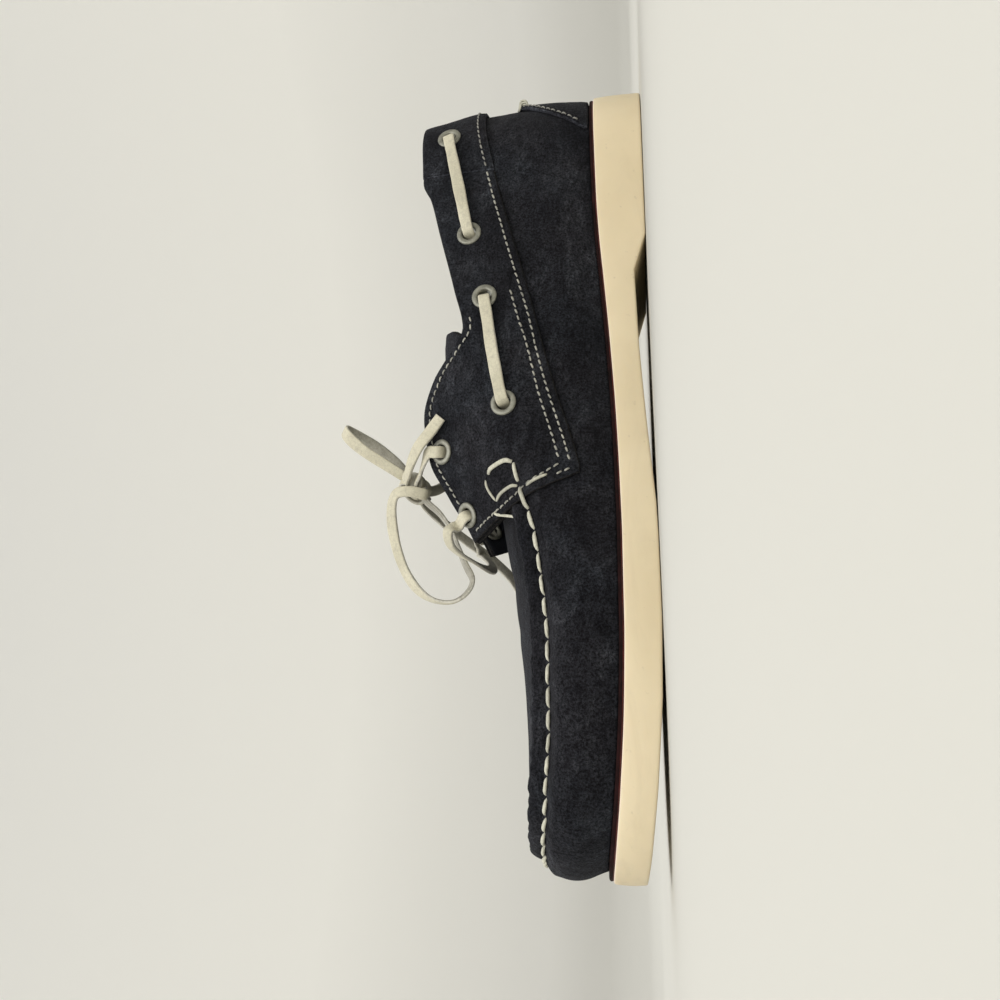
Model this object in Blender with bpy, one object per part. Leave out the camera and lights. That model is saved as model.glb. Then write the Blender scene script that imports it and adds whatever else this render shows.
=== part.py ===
"""A lace-up suede moccasin on a flat rubber deck sole, built as its real pieces.

It is the right shoe of a pair: the inner (medial) side is -X, the outer (lateral) side
is +X, the toe points along +Y, and the sole stands on Z = 0. The tables are in
millimetres; everything is scaled to metres when a mesh is made.

Every form is worked out on stations that run along each side of the shoe. A station is
a number K: it turns round the back of the heel from HEEL_CENTRE to HEEL_END, runs
straight up the shoe from HEEL_END to TOE_START, where K is the distance from the back of
the heel, and turns round the toe from TOE_START to TOE_CENTRE. At each station a section
plane looks out from the spine, and R is the distance from the spine in that plane.
"""

import math

import bmesh
import bpy
import numpy as np
from mathutils import Vector

MM = 0.001
MEDIAL, LATERAL = -1, 1

# ---- driving dimensions, in millimetres -------------------------------------------
LENGTH = 298.0
HEEL_END, TOE_START = 34.0, 254.0
HEEL_CENTRE, TOE_CENTRE = -16.0, 324.0
SPINE_X_HEEL, SPINE_X_TOE = 2.0, -4.0

WALL = 1.8  # the suede of the upper
BAND, TAB = 1.1, 1.5  # the suede of the collar band, and of the heel tab and patch
TONGUE = 2.0
GAP = 0.3  # left between pieces that touch
OVER_GAP = 0.5  # left under the curved layers laid on the upper
RAND = 1.1  # the thin coloured line above the sole
RAND_INSET = 0.8
INSOLE = 3.5
INSOLE_GAP = 0.6

SEAM_RIDGE = 5.2  # height of the raised moccasin seam
SEAM_THICK = 3.2
SEAM_LEAN = 0.25
SEAM_STEP_IN = 2.4  # how far the apron lies above the foot of the seam
SEAM_FROM, SEAM_GROWS = 176.0, 14.0  # station where it rises, and over what length
SEAM_LOWERS, SEAM_AT_TOE = 268.0, 0.74  # station where it sinks again, and its share at the toe

LACE_WIDTH, LACE_THICK = 4.4, 1.5
EYELET_HOLE, EYELET_OUTER, EYELET_FLANGE = 2.6, 4.7, 0.7  # radii and a thickness
BARREL_WALL = 0.4
LACE_LIFT = 0.3  # the lace lies this far above the eyelets' flanges

# ---- the sole, seen from above and from the side ---------------------------------------
# station, R of the inner edge, R of the outer edge
OUTLINE = np.array([
    (-16.0, 34.0, 34.0),
    (9.0, 33.6, 33.8),
    (34.0, 32.3, 32.6),
    (60.0, 31.0, 33.0),
    (85.0, 28.8, 35.2),
    (110.0, 27.8, 37.6),
    (135.0, 30.0, 41.2),
    (160.0, 35.4, 45.9),
    (185.0, 42.4, 50.4),
    (210.0, 47.4, 53.6),
    (230.0, 49.0, 54.0),
    (254.0, 48.0, 50.8),
    (271.5, 46.8, 47.4),
    (289.0, 45.8, 45.2),
    (306.5, 44.6, 44.2),
    (324.0, 44.0, 44.0),
])  # fmt: skip

# distance from the back of the heel, top of the sole, underside
SOLE_PROFILE = np.array([
    (0.0, 18.2, 0.0),
    (60.0, 17.4, 0.0),
    (76.0, 16.7, 0.0),
    (90.0, 15.7, 4.4),
    (120.0, 13.7, 3.7),
    (150.0, 12.2, 2.1),
    (180.0, 11.3, 0.2),
    (190.0, 11.1, 0.0),
    (216.0, 11.1, 0.0),
    (240.0, 11.8, 0.8),
    (265.0, 13.6, 3.0),
    (285.0, 15.9, 5.4),
    (298.0, 17.8, 7.3),
])  # fmt: skip
HEEL_BREAST = (76.0, 90.0)

# ---- the upper's sections ------------------------------------------------------------
# station, feather line inside the sole's edge, height and width of the bulge above it
# on the inner and the outer side, the seam (or mid-wall) height and R on both sides,
# and the top edge's height and R: collar, then lace flap. Ahead of the flaps the top
# edge is only where the wall would run on to.
SECTIONS = np.array([
    # K     inset  zb   bulge_m bulge_l  z_w   r_wm  r_wl   z_t   r_t
    (-16.0, 3.4, 20.0, 0.8, 0.8, 58.0, 30.6, 30.6, 86.0, 25.5),
    (9.0, 2.8, 20.0, 1.2, 1.2, 58.0, 31.6, 31.6, 86.0, 28.2),
    (34.0, 2.0, 15.0, 2.0, 1.8, 58.0, 31.2, 31.6, 84.6, 29.6),
    (47.0, 1.8, 15.0, 2.4, 1.8, 56.0, 31.6, 32.2, 83.6, 30.2),
    (54.0, 1.6, 15.0, 2.6, 1.8, 55.0, 31.8, 32.5, 80.4, 30.4),
    (70.0, 1.4, 16.0, 3.2, 1.8, 52.0, 32.2, 33.2, 76.2, 30.8),
    (95.0, 1.2, 16.0, 4.4, 1.6, 48.0, 32.4, 34.8, 69.6, 31.3),
    (110.0, 1.2, 16.0, 4.6, 1.4, 46.0, 32.6, 35.8, 66.2, 30.8),
    (118.0, 1.3, 16.0, 4.2, 1.3, 46.0, 32.8, 36.2, 71.6, 27.2),
    (127.0, 1.4, 15.0, 3.6, 1.2, 46.0, 33.0, 36.6, 78.6, 22.6),
    (140.0, 1.6, 14.0, 2.6, 1.1, 46.0, 32.8, 37.0, 83.0, 17.6),
    (155.0, 1.8, 13.0, 1.9, 1.0, 46.0, 32.8, 37.4, 81.0, 14.6),
    (170.0, 2.0, 12.0, 1.4, 1.0, 44.6, 33.6, 38.0, 73.2, 13.4),
    (182.0, 2.0, 11.5, 1.2, 1.0, 42.0, 34.6, 38.8, 65.6, 13.8),
    (200.0, 2.0, 11.0, 1.2, 1.0, 38.2, 36.0, 40.2, 58.0, 15.0),
    (220.0, 2.2, 10.5, 1.4, 1.2, 36.0, 36.6, 40.6, 54.0, 15.0),
    (240.0, 2.4, 10.5, 1.6, 1.4, 35.6, 36.0, 39.4, 52.0, 14.0),
    (254.0, 2.6, 10.5, 1.8, 1.6, 35.8, 35.2, 37.2, 51.0, 14.0),
    (271.5, 3.0, 10.5, 2.2, 2.0, 37.0, 35.4, 36.0, 50.5, 13.0),
    (289.0, 3.4, 10.5, 2.8, 2.6, 38.4, 36.4, 36.0, 50.5, 12.0),
    (306.5, 3.6, 10.5, 3.2, 3.0, 39.8, 37.6, 37.2, 51.0, 12.0),
    (324.0, 3.6, 10.5, 3.4, 3.4, 40.6, 38.0, 38.0, 51.5, 12.0),
])  # fmt: skip
SHOULDER_UP, SHOULDER_OUT = 0.6, 0.8  # a point that rounds the wall between bulge and seam

# distance from the heel, height of the apron along the middle of the shoe
APRON_CROWN = np.array([
    (170.0, 57.0),
    (182.0, 55.2),
    (200.0, 51.8),
    (220.0, 49.0),
    (250.0, 46.0),
    (275.0, 44.8),
    (288.0, 44.0),
    (298.0, 43.2),
])  # fmt: skip
APRON_ROUND = 2.2

# station, lower edge of the collar band
BAND_EDGE = np.array([
    (-16.0, 62.4),
    (20.0, 60.4),
    (46.0, 55.6),
    (73.0, 49.0),
    (101.0, 41.8),
    (135.0, 33.4),
    (158.0, 26.6),
    (166.0, 24.6),
])  # fmt: skip
TAB_END = 44.0
# station, upper edge of the heel patch
PATCH_EDGE = np.array([
    (-16.0, 50.0),
    (0.0, 49.0),
    (8.0, 46.5),
    (12.0, 42.5),
    (16.0, 38.6),
    (21.0, 32.4),
    (29.0, 21.5),
])  # fmt: skip
PATCH_END = 29.0

# The free front edge of the lace flaps leans forward as it climbs.
FLAP_FOOT = 164.0  # station where its line meets the feather line
FLAP_AT_SEAM, FLAP_AT_TOP = 12.0, 22.5  # how far it has moved forward by then
LEAN_BACK, LEAN_AHEAD = 60.0, 45.0  # the lean dies away over these lengths
VAMP_STEP = 1.6  # from the flap's edge to the first station of the vamp

# station and height of the eyelets on each side, back to front: two pairs with a bar of
# lace across them, then two in the lace flap
EYELETS = np.array([
    (27.0, 74.0),
    (72.0, 64.6),
    (99.0, 58.2),
    (141.0, 50.4),
    (153.0, 75.0),
    (176.5, 65.0),
])  # fmt: skip

# distance from the heel, half widths on the inner and outer side, edge, crown
TONGUE_ROWS = np.array([
    (102.0, 12.0, 12.0, 77.5, 80.8),
    (104.5, 19.0, 19.0, 73.5, 80.8),
    (109.0, 23.0, 23.0, 69.0, 80.6),
    (118.0, 24.5, 25.5, 65.0, 80.0),
    (130.0, 24.5, 26.0, 62.5, 78.4),
    (142.0, 24.0, 26.0, 60.0, 75.4),
    (154.0, 24.0, 26.5, 56.0, 70.4),
    (164.0, 24.5, 27.0, 51.5, 63.6),
    (171.0, 24.5, 27.0, 46.0, 56.0),
    (175.0, 24.0, 26.0, 43.8, 53.0),
    (180.0, 23.0, 25.0, 42.0, 51.2),
    (190.0, 21.0, 23.0, 39.6, 47.8),
])  # fmt: skip
TONGUE_ROUND = 1.8

# The bow's knot, and the paths of what leaves it: x, distance from the heel, height.
KNOT = (-2.0, 160.8, 91.0)
KNOT_SIZE = (6.5, 4.6, 4.6)  # half sizes


# ---- curves through the tables ------------------------------------------------------------
def through(xs, ys, at):
    """A smooth curve through the points that never overshoots them (monotone cubic)."""
    xs, ys = np.asarray(xs, float), np.asarray(ys, float)
    step, rise = np.diff(xs), np.diff(ys)
    slope = rise / step
    ahead, back = slope[1:], slope[:-1]
    same = ahead * back > 0
    inner = np.zeros(len(slope) - 1)
    w1, w2 = 2 * step[1:] + step[:-1], step[1:] + 2 * step[:-1]
    inner[same] = ((w1 + w2)[same]) / (w1[same] / back[same] + w2[same] / ahead[same])
    tangent = np.concatenate([[slope[0]], inner, [slope[-1]]])
    at = np.clip(at, xs[0], xs[-1])
    i = np.clip(np.searchsorted(xs, at, side="right") - 1, 0, len(step) - 1)
    t = (at - xs[i]) / step[i]
    h = step[i]
    return (
        ys[i] * (1 + 2 * t) * (1 - t) ** 2
        + tangent[i] * h * t * (1 - t) ** 2
        + ys[i + 1] * t * t * (3 - 2 * t)
        + tangent[i + 1] * h * t * t * (t - 1)
    )


def table(rows, column, at):
    return float(through(rows[:, 0], rows[:, column], at))


# ---- the frame of stations --------------------------------------------------------------------
def spine(k, side):
    """The foot of the section plane, and the way it looks out, as (x, y) from the heel."""
    if k < HEEL_END:
        turn = math.pi / 2 * (k - HEEL_CENTRE) / (HEEL_END - HEEL_CENTRE)
        return (SPINE_X_HEEL, HEEL_END), (side * math.sin(turn), -math.cos(turn))
    if k > TOE_START:
        turn = math.pi / 2 * (TOE_CENTRE - k) / (TOE_CENTRE - TOE_START)
        return (SPINE_X_TOE, TOE_START), (side * math.sin(turn), math.cos(turn))
    share = (k - HEEL_END) / (TOE_START - HEEL_END)
    return (SPINE_X_HEEL + share * (SPINE_X_TOE - SPINE_X_HEEL), k), (float(side), 0.0)


def place(k, side, r, z):
    """The point at distance r and height z in the section plane at station k."""
    foot, out = spine(k, side)
    return np.array([foot[0] + out[0] * r, foot[1] + out[1] * r, z])


def edge_of_sole(k, side):
    return table(OUTLINE, 1 if side == MEDIAL else 2, k)


def along(k, side):
    """Distance from the back of the heel, at the sole's edge."""
    return place(k, side, edge_of_sole(k, side), 0)[1]


def sole_top(s):
    return table(SOLE_PROFILE, 1, s)


def sole_under(s):
    return float(np.interp(s, SOLE_PROFILE[:, 0], SOLE_PROFILE[:, 2]))


def section(k, side):
    """Heights and Rs of the upper's outside at station k, from feather line to top edge."""
    inset, zb, bulge_m, bulge_l, z_w, r_wm, r_wl, z_t, r_t = (
        table(SECTIONS, c, k) for c in range(1, 10)
    )
    z_f = sole_top(along(k, side)) + GAP + RAND + GAP
    r_f = edge_of_sole(k, side) - inset
    z_b, r_b = z_f + zb, r_f + (bulge_m if side == MEDIAL else bulge_l)
    r_w = r_wm if side == MEDIAL else r_wl
    z_s = z_b + SHOULDER_UP * (z_w - z_b)
    r_s = r_w + SHOULDER_OUT * (r_b - r_w)
    return np.array([z_f, z_b, z_s, z_w, z_t]), np.array([r_f, r_b, r_s, r_w, r_t])


def skin(k, side, z, out=0.0):
    """A point of the upper's outside at station k and height z, moved out along its normal."""
    zs, rs = section(k, side)
    z = min(max(z, zs[0]), zs[-1])
    d = 0.4
    r = float(through(zs, rs, z))
    slope = (float(through(zs, rs, z + d)) - float(through(zs, rs, z - d))) / (
        min(z + d, zs[-1]) - max(z - d, zs[0])
    )
    n_r, n_z = 1 / math.hypot(1, slope), -slope / math.hypot(1, slope)
    return place(k, side, r + n_r * out, z + n_z * out)


def skin_normal(k, side, z):
    a, b = skin(k, side, z), skin(k, side, z, 1.0)
    return b - a


def feather(k, side):
    return section(k, side)[0][0]


def seam_height(k):
    return table(SECTIONS, 5, k)


def top_height(k):
    return table(SECTIONS, 8, k)


# ---- meshes ----------------------------------------------------------------------------------------
CENTRE_X = 0.0  # set below, once the outline is known


def to_metres(p):
    return Vector(((p[0] - CENTRE_X) * MM, (p[1] - LENGTH / 2) * MM, p[2] * MM))


def material(name, colour, roughness, metallic=0.0):
    made = bpy.data.materials.get(name)
    if made is None:
        made = bpy.data.materials.new(name)
        made.use_nodes = True
        shader = made.node_tree.nodes["Principled BSDF"]
        shader.inputs["Base Color"].default_value = (*colour, 1.0)
        shader.inputs["Roughness"].default_value = roughness
        shader.inputs["Metallic"].default_value = metallic
    return made


def suede():
    return material("suede", (0.022, 0.025, 0.036), 0.95)


def rubber():
    return material("cream_rubber", (0.78, 0.66, 0.45), 0.6)


def red():
    return material("red_line", (0.30, 0.02, 0.03), 0.6)


def leather():
    return material("lining_leather", (0.45, 0.33, 0.21), 0.7)


def rawhide():
    return material("rawhide", (0.72, 0.68, 0.56), 0.7)


def steel():
    return material("eyelet_metal", (0.50, 0.50, 0.47), 0.4, 1.0)


def mesh_object(name, points, faces, finish, smooth_deg=50):
    mesh = bpy.data.meshes.new(name)
    mesh.from_pydata([to_metres(p) for p in points], [], faces)
    bm = bmesh.new()
    bm.from_mesh(mesh)
    bmesh.ops.remove_doubles(bm, verts=bm.verts, dist=1e-7)
    bmesh.ops.dissolve_degenerate(bm, edges=bm.edges, dist=1e-7)
    bmesh.ops.recalc_face_normals(bm, faces=bm.faces)
    bm.to_mesh(mesh)
    bm.free()
    mesh.shade_smooth()
    mesh.set_sharp_from_angle(angle=math.radians(smooth_deg))
    mesh.materials.append(finish)
    made = bpy.data.objects.new(name, mesh)
    bpy.context.scene.collection.objects.link(made)
    return made


def thick_sheet(name, outer, inner, faces, finish):
    """A closed solid from a sheet's outside and inside points, which share their faces."""
    n = len(outer)
    count = {}
    for face in faces:
        for a, b in zip(face, face[1:] + face[:1]):
            count[(a, b)] = count.get((a, b), 0) + 1
    rim = [(a, b) for a, b in count if (b, a) not in count]
    solid = [tuple(f) for f in faces]
    solid += [tuple(n + i for i in reversed(f)) for f in faces]
    solid += [(b, a, n + a, n + b) for a, b in rim]
    return mesh_object(name, list(outer) + list(inner), solid, finish)


def grid_faces(rows, columns, first=0):
    return [
        [first + i * columns + j, first + (i + 1) * columns + j,
         first + (i + 1) * columns + j + 1, first + i * columns + j + 1]
        for i in range(rows - 1)
        for j in range(columns - 1)
    ]  # fmt: skip


def flat_cord(name, path, ups, finish, width=LACE_WIDTH, thick=LACE_THICK):
    """A strip of lace along a path; ups is the way its flat side faces at each point."""
    path = [np.array(p, float) for p in path]
    points = []
    for i, p in enumerate(path):
        ahead = path[min(i + 1, len(path) - 1)] - path[max(i - 1, 0)]
        ahead /= np.linalg.norm(ahead)
        across = np.cross(ahead, ups[i])
        across /= np.linalg.norm(across)
        up = np.cross(across, ahead)
        for a, b in ((-1, -1), (1, -1), (1, 1), (-1, 1)):
            points.append(p + across * a * width / 2 + up * b * thick / 2)
    faces = [(3, 2, 1, 0)]
    for i in range(len(path) - 1):
        faces += [
            (4 * i + j, 4 * i + (j + 1) % 4, 4 * i + 4 + (j + 1) % 4, 4 * i + 4 + j)
            for j in range(4)
        ]
    last = 4 * (len(path) - 1)
    faces.append((last, last + 1, last + 2, last + 3))
    return mesh_object(name, points, faces, finish)


def smooth_path(rows, count):
    """Rows at even steps along a smooth curve through the given ones. The first three columns
    are the place, and any others go along with it."""
    rows = np.array(rows, float)
    padded = np.vstack([2 * rows[0] - rows[1], rows, 2 * rows[-1] - rows[-2]])
    fine = []
    for i in range(len(rows) - 1):
        p0, p1, p2, p3 = padded[i : i + 4]
        for t in np.linspace(0, 1, 24, endpoint=False):
            fine.append(
                0.5 * (2 * p1 + (p2 - p0) * t + (2 * p0 - 5 * p1 + 4 * p2 - p3) * t * t
                       + (3 * p1 - p0 - 3 * p2 + p3) * t**3)
            )  # fmt: skip
    fine.append(rows[-1])
    fine = np.array(fine)
    run = np.concatenate([[0], np.cumsum(np.linalg.norm(np.diff(fine[:, :3], axis=0), axis=1))])
    even = np.linspace(0, run[-1], count)
    return np.stack([np.interp(even, run, column) for column in fine.T], axis=1)


def free_cord(name, rows, count):
    """A strip of lace through rows that give its place and the way its flat side faces."""
    rows = smooth_path(rows, count)
    return flat_cord(name, rows[:, :3], rows[:, 3:], rawhide())


# ---- stations that the pieces are built on -------------------------------------------------------------
def stations(start, end, count):
    return [float(k) for k in np.linspace(start, end, count)]


SOLE_STATIONS = (
    stations(HEEL_CENTRE, HEEL_END, 8)
    + [50.0, 64.0, *HEEL_BREAST, 104.0, 120.0, 136.0, 152.0, 168.0, 180.0, 190.0, 203.0, 216.0]
    + [228.0, 240.0]
    + stations(TOE_START, TOE_CENTRE, 9)
)


def plate(name, levels, cross, finish):
    """A closed plate with the sole's stations. levels(k, side) gives its edge as points,
    top to bottom; cross is how many strips lie between the two edges."""
    ring = [(k, MEDIAL) for k in SOLE_STATIONS[:-1]] + [
        (k, LATERAL) for k in reversed(SOLE_STATIONS[1:])
    ]
    edges = [levels(k, side) for k, side in ring]
    depth, n, pairs = len(edges[0]), len(edges), len(SOLE_STATIONS)
    points = [p for edge in edges for p in edge]
    faces = []
    for i in range(n):
        a, b = i * depth, (i + 1) % n * depth
        faces += [(a + j, a + j + 1, b + j + 1, b + j) for j in range(depth - 1)]

    def index(i, side):
        """The ring position of the i-th station on a side."""
        if side == MEDIAL:
            return i if i < pairs - 1 else n - (pairs - 1)
        return (n - i) % n

    for level in (0, depth - 1):
        rows = []
        for i in range(pairs):
            m, l = index(i, MEDIAL) * depth + level, index(i, LATERAL) * depth + level
            if m == l:
                rows.append([m])
                continue
            row = [m]
            for c in range(1, cross):
                share = c / cross
                row.append(len(points))
                p = points[m] * (1 - share) + points[l] * share
                points.append(p)
            rows.append(row + [l])
        for a, b in zip(rows, rows[1:]):
            if len(a) == 1 or len(b) == 1:
                tip, long = (a[0], b) if len(a) == 1 else (b[0], a)
                faces += [(tip, long[c], long[c + 1]) for c in range(len(long) - 1)]
            else:
                faces += [(a[c], b[c], b[c + 1], a[c + 1]) for c in range(cross)]
    return mesh_object(name, points, faces, finish, smooth_deg=35)


# ---- the pieces ----------------------------------------------------------------------------------------
def outsole():
    """Cream rubber unit sole with a low heel, a raised waist and toe spring."""

    def levels(k, side):
        r = edge_of_sole(k, side)
        s = along(k, side)
        top, under = sole_top(s), sole_under(s)
        deep = (top - under) / 3
        return [
            place(k, side, r - 0.7, top),
            place(k, side, r, top - 0.8),
            place(k, side, r + 0.2, top - deep),
            place(k, side, r, under + 2.4),
            place(k, side, r - 0.7, under + 0.7),
            place(k, side, r - 2.0, under),
        ]

    return plate("outsole", levels, 4, rubber())


def rand():
    """The thin red line between sole and upper."""

    def levels(k, side):
        r, low = edge_of_sole(k, side) - RAND_INSET, sole_top(along(k, side)) + GAP
        return [place(k, side, r, low + RAND), place(k, side, r, low)]

    return plate("rand", levels, 2, red())


def insole():
    """The footbed, inside the upper's wall."""

    def levels(k, side):
        zs, rs = section(k, side)
        r = rs[0] - WALL - INSOLE_GAP
        return [place(k, side, r + 0.6, zs[0] + INSOLE), place(k, side, r, zs[0])]

    return plate("insole", levels, 3, leather())


REAR_STATIONS = (
    stations(HEEL_CENTRE, HEEL_END, 7) + [41.0, 47.0, 54.0, 64.0, 76.0, 88.0, 99.0, 107.0]
    + [112.0, 118.0, 124.0, 130.0, 137.0, 145.0, 154.0, FLAP_FOOT]
)  # fmt: skip
VAMP_STATIONS = [FLAP_FOOT + VAMP_STEP, 172.0, 181.0, 191.0, 202.0, 214.0, 227.0, 240.0] + (
    stations(TOE_START, TOE_CENTRE, 9)
)
WALL_ROWS, FLAP_ROWS, APRON_STRIPS = 7, 6, 8


def lean(k, climb):
    """How far forward of station k a column has moved at a share of the flap's climb:
    0 at the feather line, 1 at the seam, 2 at the top edge."""
    if k <= FLAP_FOOT:
        fade = max(0.0, 1 - (FLAP_FOOT - k) / LEAN_BACK)
    else:
        fade = max(0.0, 1 - (k - FLAP_FOOT) / LEAN_AHEAD)
    fade = fade * fade * (3 - 2 * fade)
    return fade * float(np.interp(climb, (0, 1, 2), (0, FLAP_AT_SEAM, FLAP_AT_TOP)))


def risen(k):
    """How far the raised seam has grown, from under the flap's tip forwards."""
    t = min(1.0, max(0.0, (k - SEAM_FROM) / SEAM_GROWS))
    sunk = max(0.0, (k - SEAM_LOWERS) / (TOE_CENTRE - SEAM_LOWERS))
    return t * t * (3 - 2 * t) * (1 - (1 - SEAM_AT_TOE) * sunk)


def at_climb(k, side, climb, out=0.0):
    """A point of the wall or flap at base station k: climb is 0 at the feather line, 1 at
    the seam's height and 2 at the top edge."""
    here = k + lean(k, climb)
    low, mid, high = feather(here, side), seam_height(here), top_height(here)
    z = low + (mid - low) * climb if climb <= 1 else mid + (high - mid) * (climb - 1)
    return skin(here, side, z, out)


def climb_to(k, side, edge):
    """The climb at which the wall at base station k crosses a table's edge height."""
    low, high = 0.0, 2.0
    for _ in range(30):
        climb = (low + high) / 2
        p = at_climb(k, side, climb)
        above = p[2] > table(edge, 1, k + lean(k, climb))
        low, high = (low, climb) if above else (climb, high)
    return low


def column(k, side, out=0.0, ridge=True):
    """Points of one column of the upper, from the feather line up: the wall, then either
    the rest of the flap, or ahead of the flaps the raised seam."""
    points = []
    for i in range(WALL_ROWS):
        share = i / (WALL_ROWS - 1)
        here = k + lean(k, share)
        low, high = feather(here, side), seam_height(here)
        points.append(skin(here, side, low + (high - low) * share, out))
    if k <= FLAP_FOOT:
        for i in range(1, FLAP_ROWS):
            share = i / (FLAP_ROWS - 1)
            here = k + lean(k, 1 + share)
            low, high = seam_height(here), top_height(here)
            points.append(skin(here, side, low + (high - low) * share, out))
        return points
    foot = points[-1]
    here = k + lean(k, 1)
    inward = -skin_normal(here, side, feather(here, side) + 6)
    inward[2] = 0
    inward /= np.linalg.norm(inward)
    if not ridge:  # the inside runs smoothly under the seam to the apron
        steps = (0.35, 0.7, 1.0)
        up = SEAM_STEP_IN * 0.8 * risen(here) - WALL * 0.3
        reach = inward * (SEAM_THICK + 0.4 + WALL * 0.3) + np.array([0, 0, up])
        return points + [foot + reach * share for share in steps]
    tall = np.array([0, 0, 0.4 + (SEAM_RIDGE - 0.4) * risen(here)])
    crest = foot + tall + inward * SEAM_RIDGE * SEAM_LEAN * risen(here)
    return points + [
        crest,
        crest + inward * SEAM_THICK,
        foot + inward * (SEAM_THICK + 0.4) + np.array([0, 0, SEAM_STEP_IN * risen(here)]),
    ]


def apron_row(edge_m, edge_l, drop):
    """Points across the apron between its two edges, which aren't repeated."""
    row = []
    for i in range(1, APRON_STRIPS):
        share = i / APRON_STRIPS
        p = edge_m * (1 - share) + edge_l * share
        crown = table(APRON_CROWN, 1, p[1]) - drop
        rise = max(0.0, crown - p[2])
        p[2] += rise * (1 - abs(2 * share - 1) ** APRON_ROUND)
        row.append(p)
    return row


def upper_sheet(out, ridge):
    """One side of the upper's suede as points, with the faces that join them."""
    points, faces = [], []
    rear = [(k, MEDIAL) for k in reversed(REAR_STATIONS)] + [
        (k, LATERAL) for k in REAR_STATIONS[1:]
    ]
    vamp = [(k, MEDIAL) for k in VAMP_STATIONS] + [
        (k, LATERAL) for k in reversed(VAMP_STATIONS[:-1])
    ]
    columns = []
    for k, side in rear + vamp:
        made = column(k, side, out, ridge)
        columns.append(list(range(len(points), len(points) + len(made))))
        points += made
    n_rear = len(rear)
    for i in range(len(columns)):
        a, b = columns[i], columns[(i + 1) % len(columns)]
        meets_flap = i in (n_rear - 1, len(columns) - 1)
        # The rear columns run from the inner flap round the heel to the outer flap, and
        # the vamp's from the inner side round the toe: they meet at both flaps' feet.
        if i == n_rear - 1:
            b = columns[-1]
        elif i == len(columns) - 1:
            a, b = columns[n_rear], columns[0]
        rows = WALL_ROWS if meets_flap else min(len(a), len(b))
        faces += [[a[j], b[j], b[j + 1], a[j + 1]] for j in range(rows - 1)]
    inner_vamp = columns[n_rear : n_rear + len(VAMP_STATIONS)]
    outer_vamp = list(reversed(columns[n_rear + len(VAMP_STATIONS) :]))
    rows = []
    drop = -out
    for m, l in zip(inner_vamp[:-1], outer_vamp):
        middle = apron_row(points[m[-1]], points[l[-1]], drop)
        rows.append([m[-1], *range(len(points), len(points) + len(middle)), l[-1]])
        points += middle
    tip = inner_vamp[-1][-1]
    for a, b in zip(rows, rows[1:]):
        faces += [[a[c], a[c + 1], b[c + 1], b[c]] for c in range(APRON_STRIPS)]
    faces += [[rows[-1][c], rows[-1][c + 1], tip] for c in range(APRON_STRIPS)]
    return points, faces


def one_way(faces):
    """The same faces, wound so that neighbours agree."""
    bm = bmesh.new()
    top = max(max(f) for f in faces) + 1
    verts = [bm.verts.new((i, 0, 0)) for i in range(top)]
    by_edge, done, todo = {}, {}, [0]
    bm.free()
    assert verts
    for n, face in enumerate(faces):
        for a, b in zip(face, face[1:] + face[:1]):
            by_edge.setdefault(frozenset((a, b)), []).append(n)
    result = [list(f) for f in faces]
    done[0] = True
    while todo:
        n = todo.pop()
        face = result[n]
        for a, b in zip(face, face[1:] + face[:1]):
            for other in by_edge[frozenset((a, b))]:
                if other in done:
                    continue
                theirs = result[other]
                if (a, b) in list(zip(theirs, theirs[1:] + theirs[:1])):
                    result[other] = theirs[::-1]
                done[other] = True
                todo.append(other)
    return result


def upper():
    """Wall, lace flaps, raised seam and apron as one hollow shell, open underneath and at
    the collar and throat."""
    outer, faces = upper_sheet(0.0, True)
    inner, _ = upper_sheet(-WALL, False)
    return thick_sheet("upper", outer, inner, one_way(faces), suede())


def overlay(name, ks, sides, low, high, thick, rows, finish):
    """A layer of suede laid on the upper. low and high give the climb of its edges; sides
    is one side, or both joined round the heel."""
    columns = [(k, side) for side in sides for k in ks]
    if len(sides) == 2:
        columns = [(k, MEDIAL) for k in reversed(ks)] + [(k, LATERAL) for k in ks[1:]]
    layers = []
    for out in (OVER_GAP + thick, OVER_GAP):
        points = []
        for k, side in columns:
            a, b = low(k, side), high(k, side)
            points += [at_climb(k, side, a + (b - a) * i / (rows - 1), out) for i in range(rows)]
        layers.append(points)
    return thick_sheet(name, *layers, grid_faces(len(columns), rows), finish)


def collar_band(side):
    """The saddle: collar band and lace-flap facing in one piece, standing a step proud."""
    ks = [TAB_END + 0.4] + [k for k in REAR_STATIONS if k > TAB_END + 4]
    name = "collar_band_inner" if side == MEDIAL else "collar_band_outer"
    return overlay(
        name, ks, [side], lambda k, s: climb_to(k, s, BAND_EDGE), lambda k, s: 2.0, BAND, 11, suede()
    )


def heel_tab():
    """The collar's rear piece, over the end of both bands."""
    ks = stations(HEEL_CENTRE, HEEL_END, 7) + [40.0, TAB_END]
    return overlay(
        "heel_tab",
        ks,
        [MEDIAL, LATERAL],
        lambda k, s: climb_to(k, s, BAND_EDGE),
        lambda k, s: 2.0,
        TAB,
        5,
        suede(),
    )


def heel_patch():
    """The rounded patch low on the back of the heel."""
    ks = stations(HEEL_CENTRE, PATCH_END, 7)
    return overlay(
        "heel_patch",
        ks,
        [MEDIAL, LATERAL],
        lambda k, s: 0.02,
        lambda k, s: climb_to(k, s, PATCH_EDGE),
        TAB,
        5,
        suede(),
    )


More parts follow.
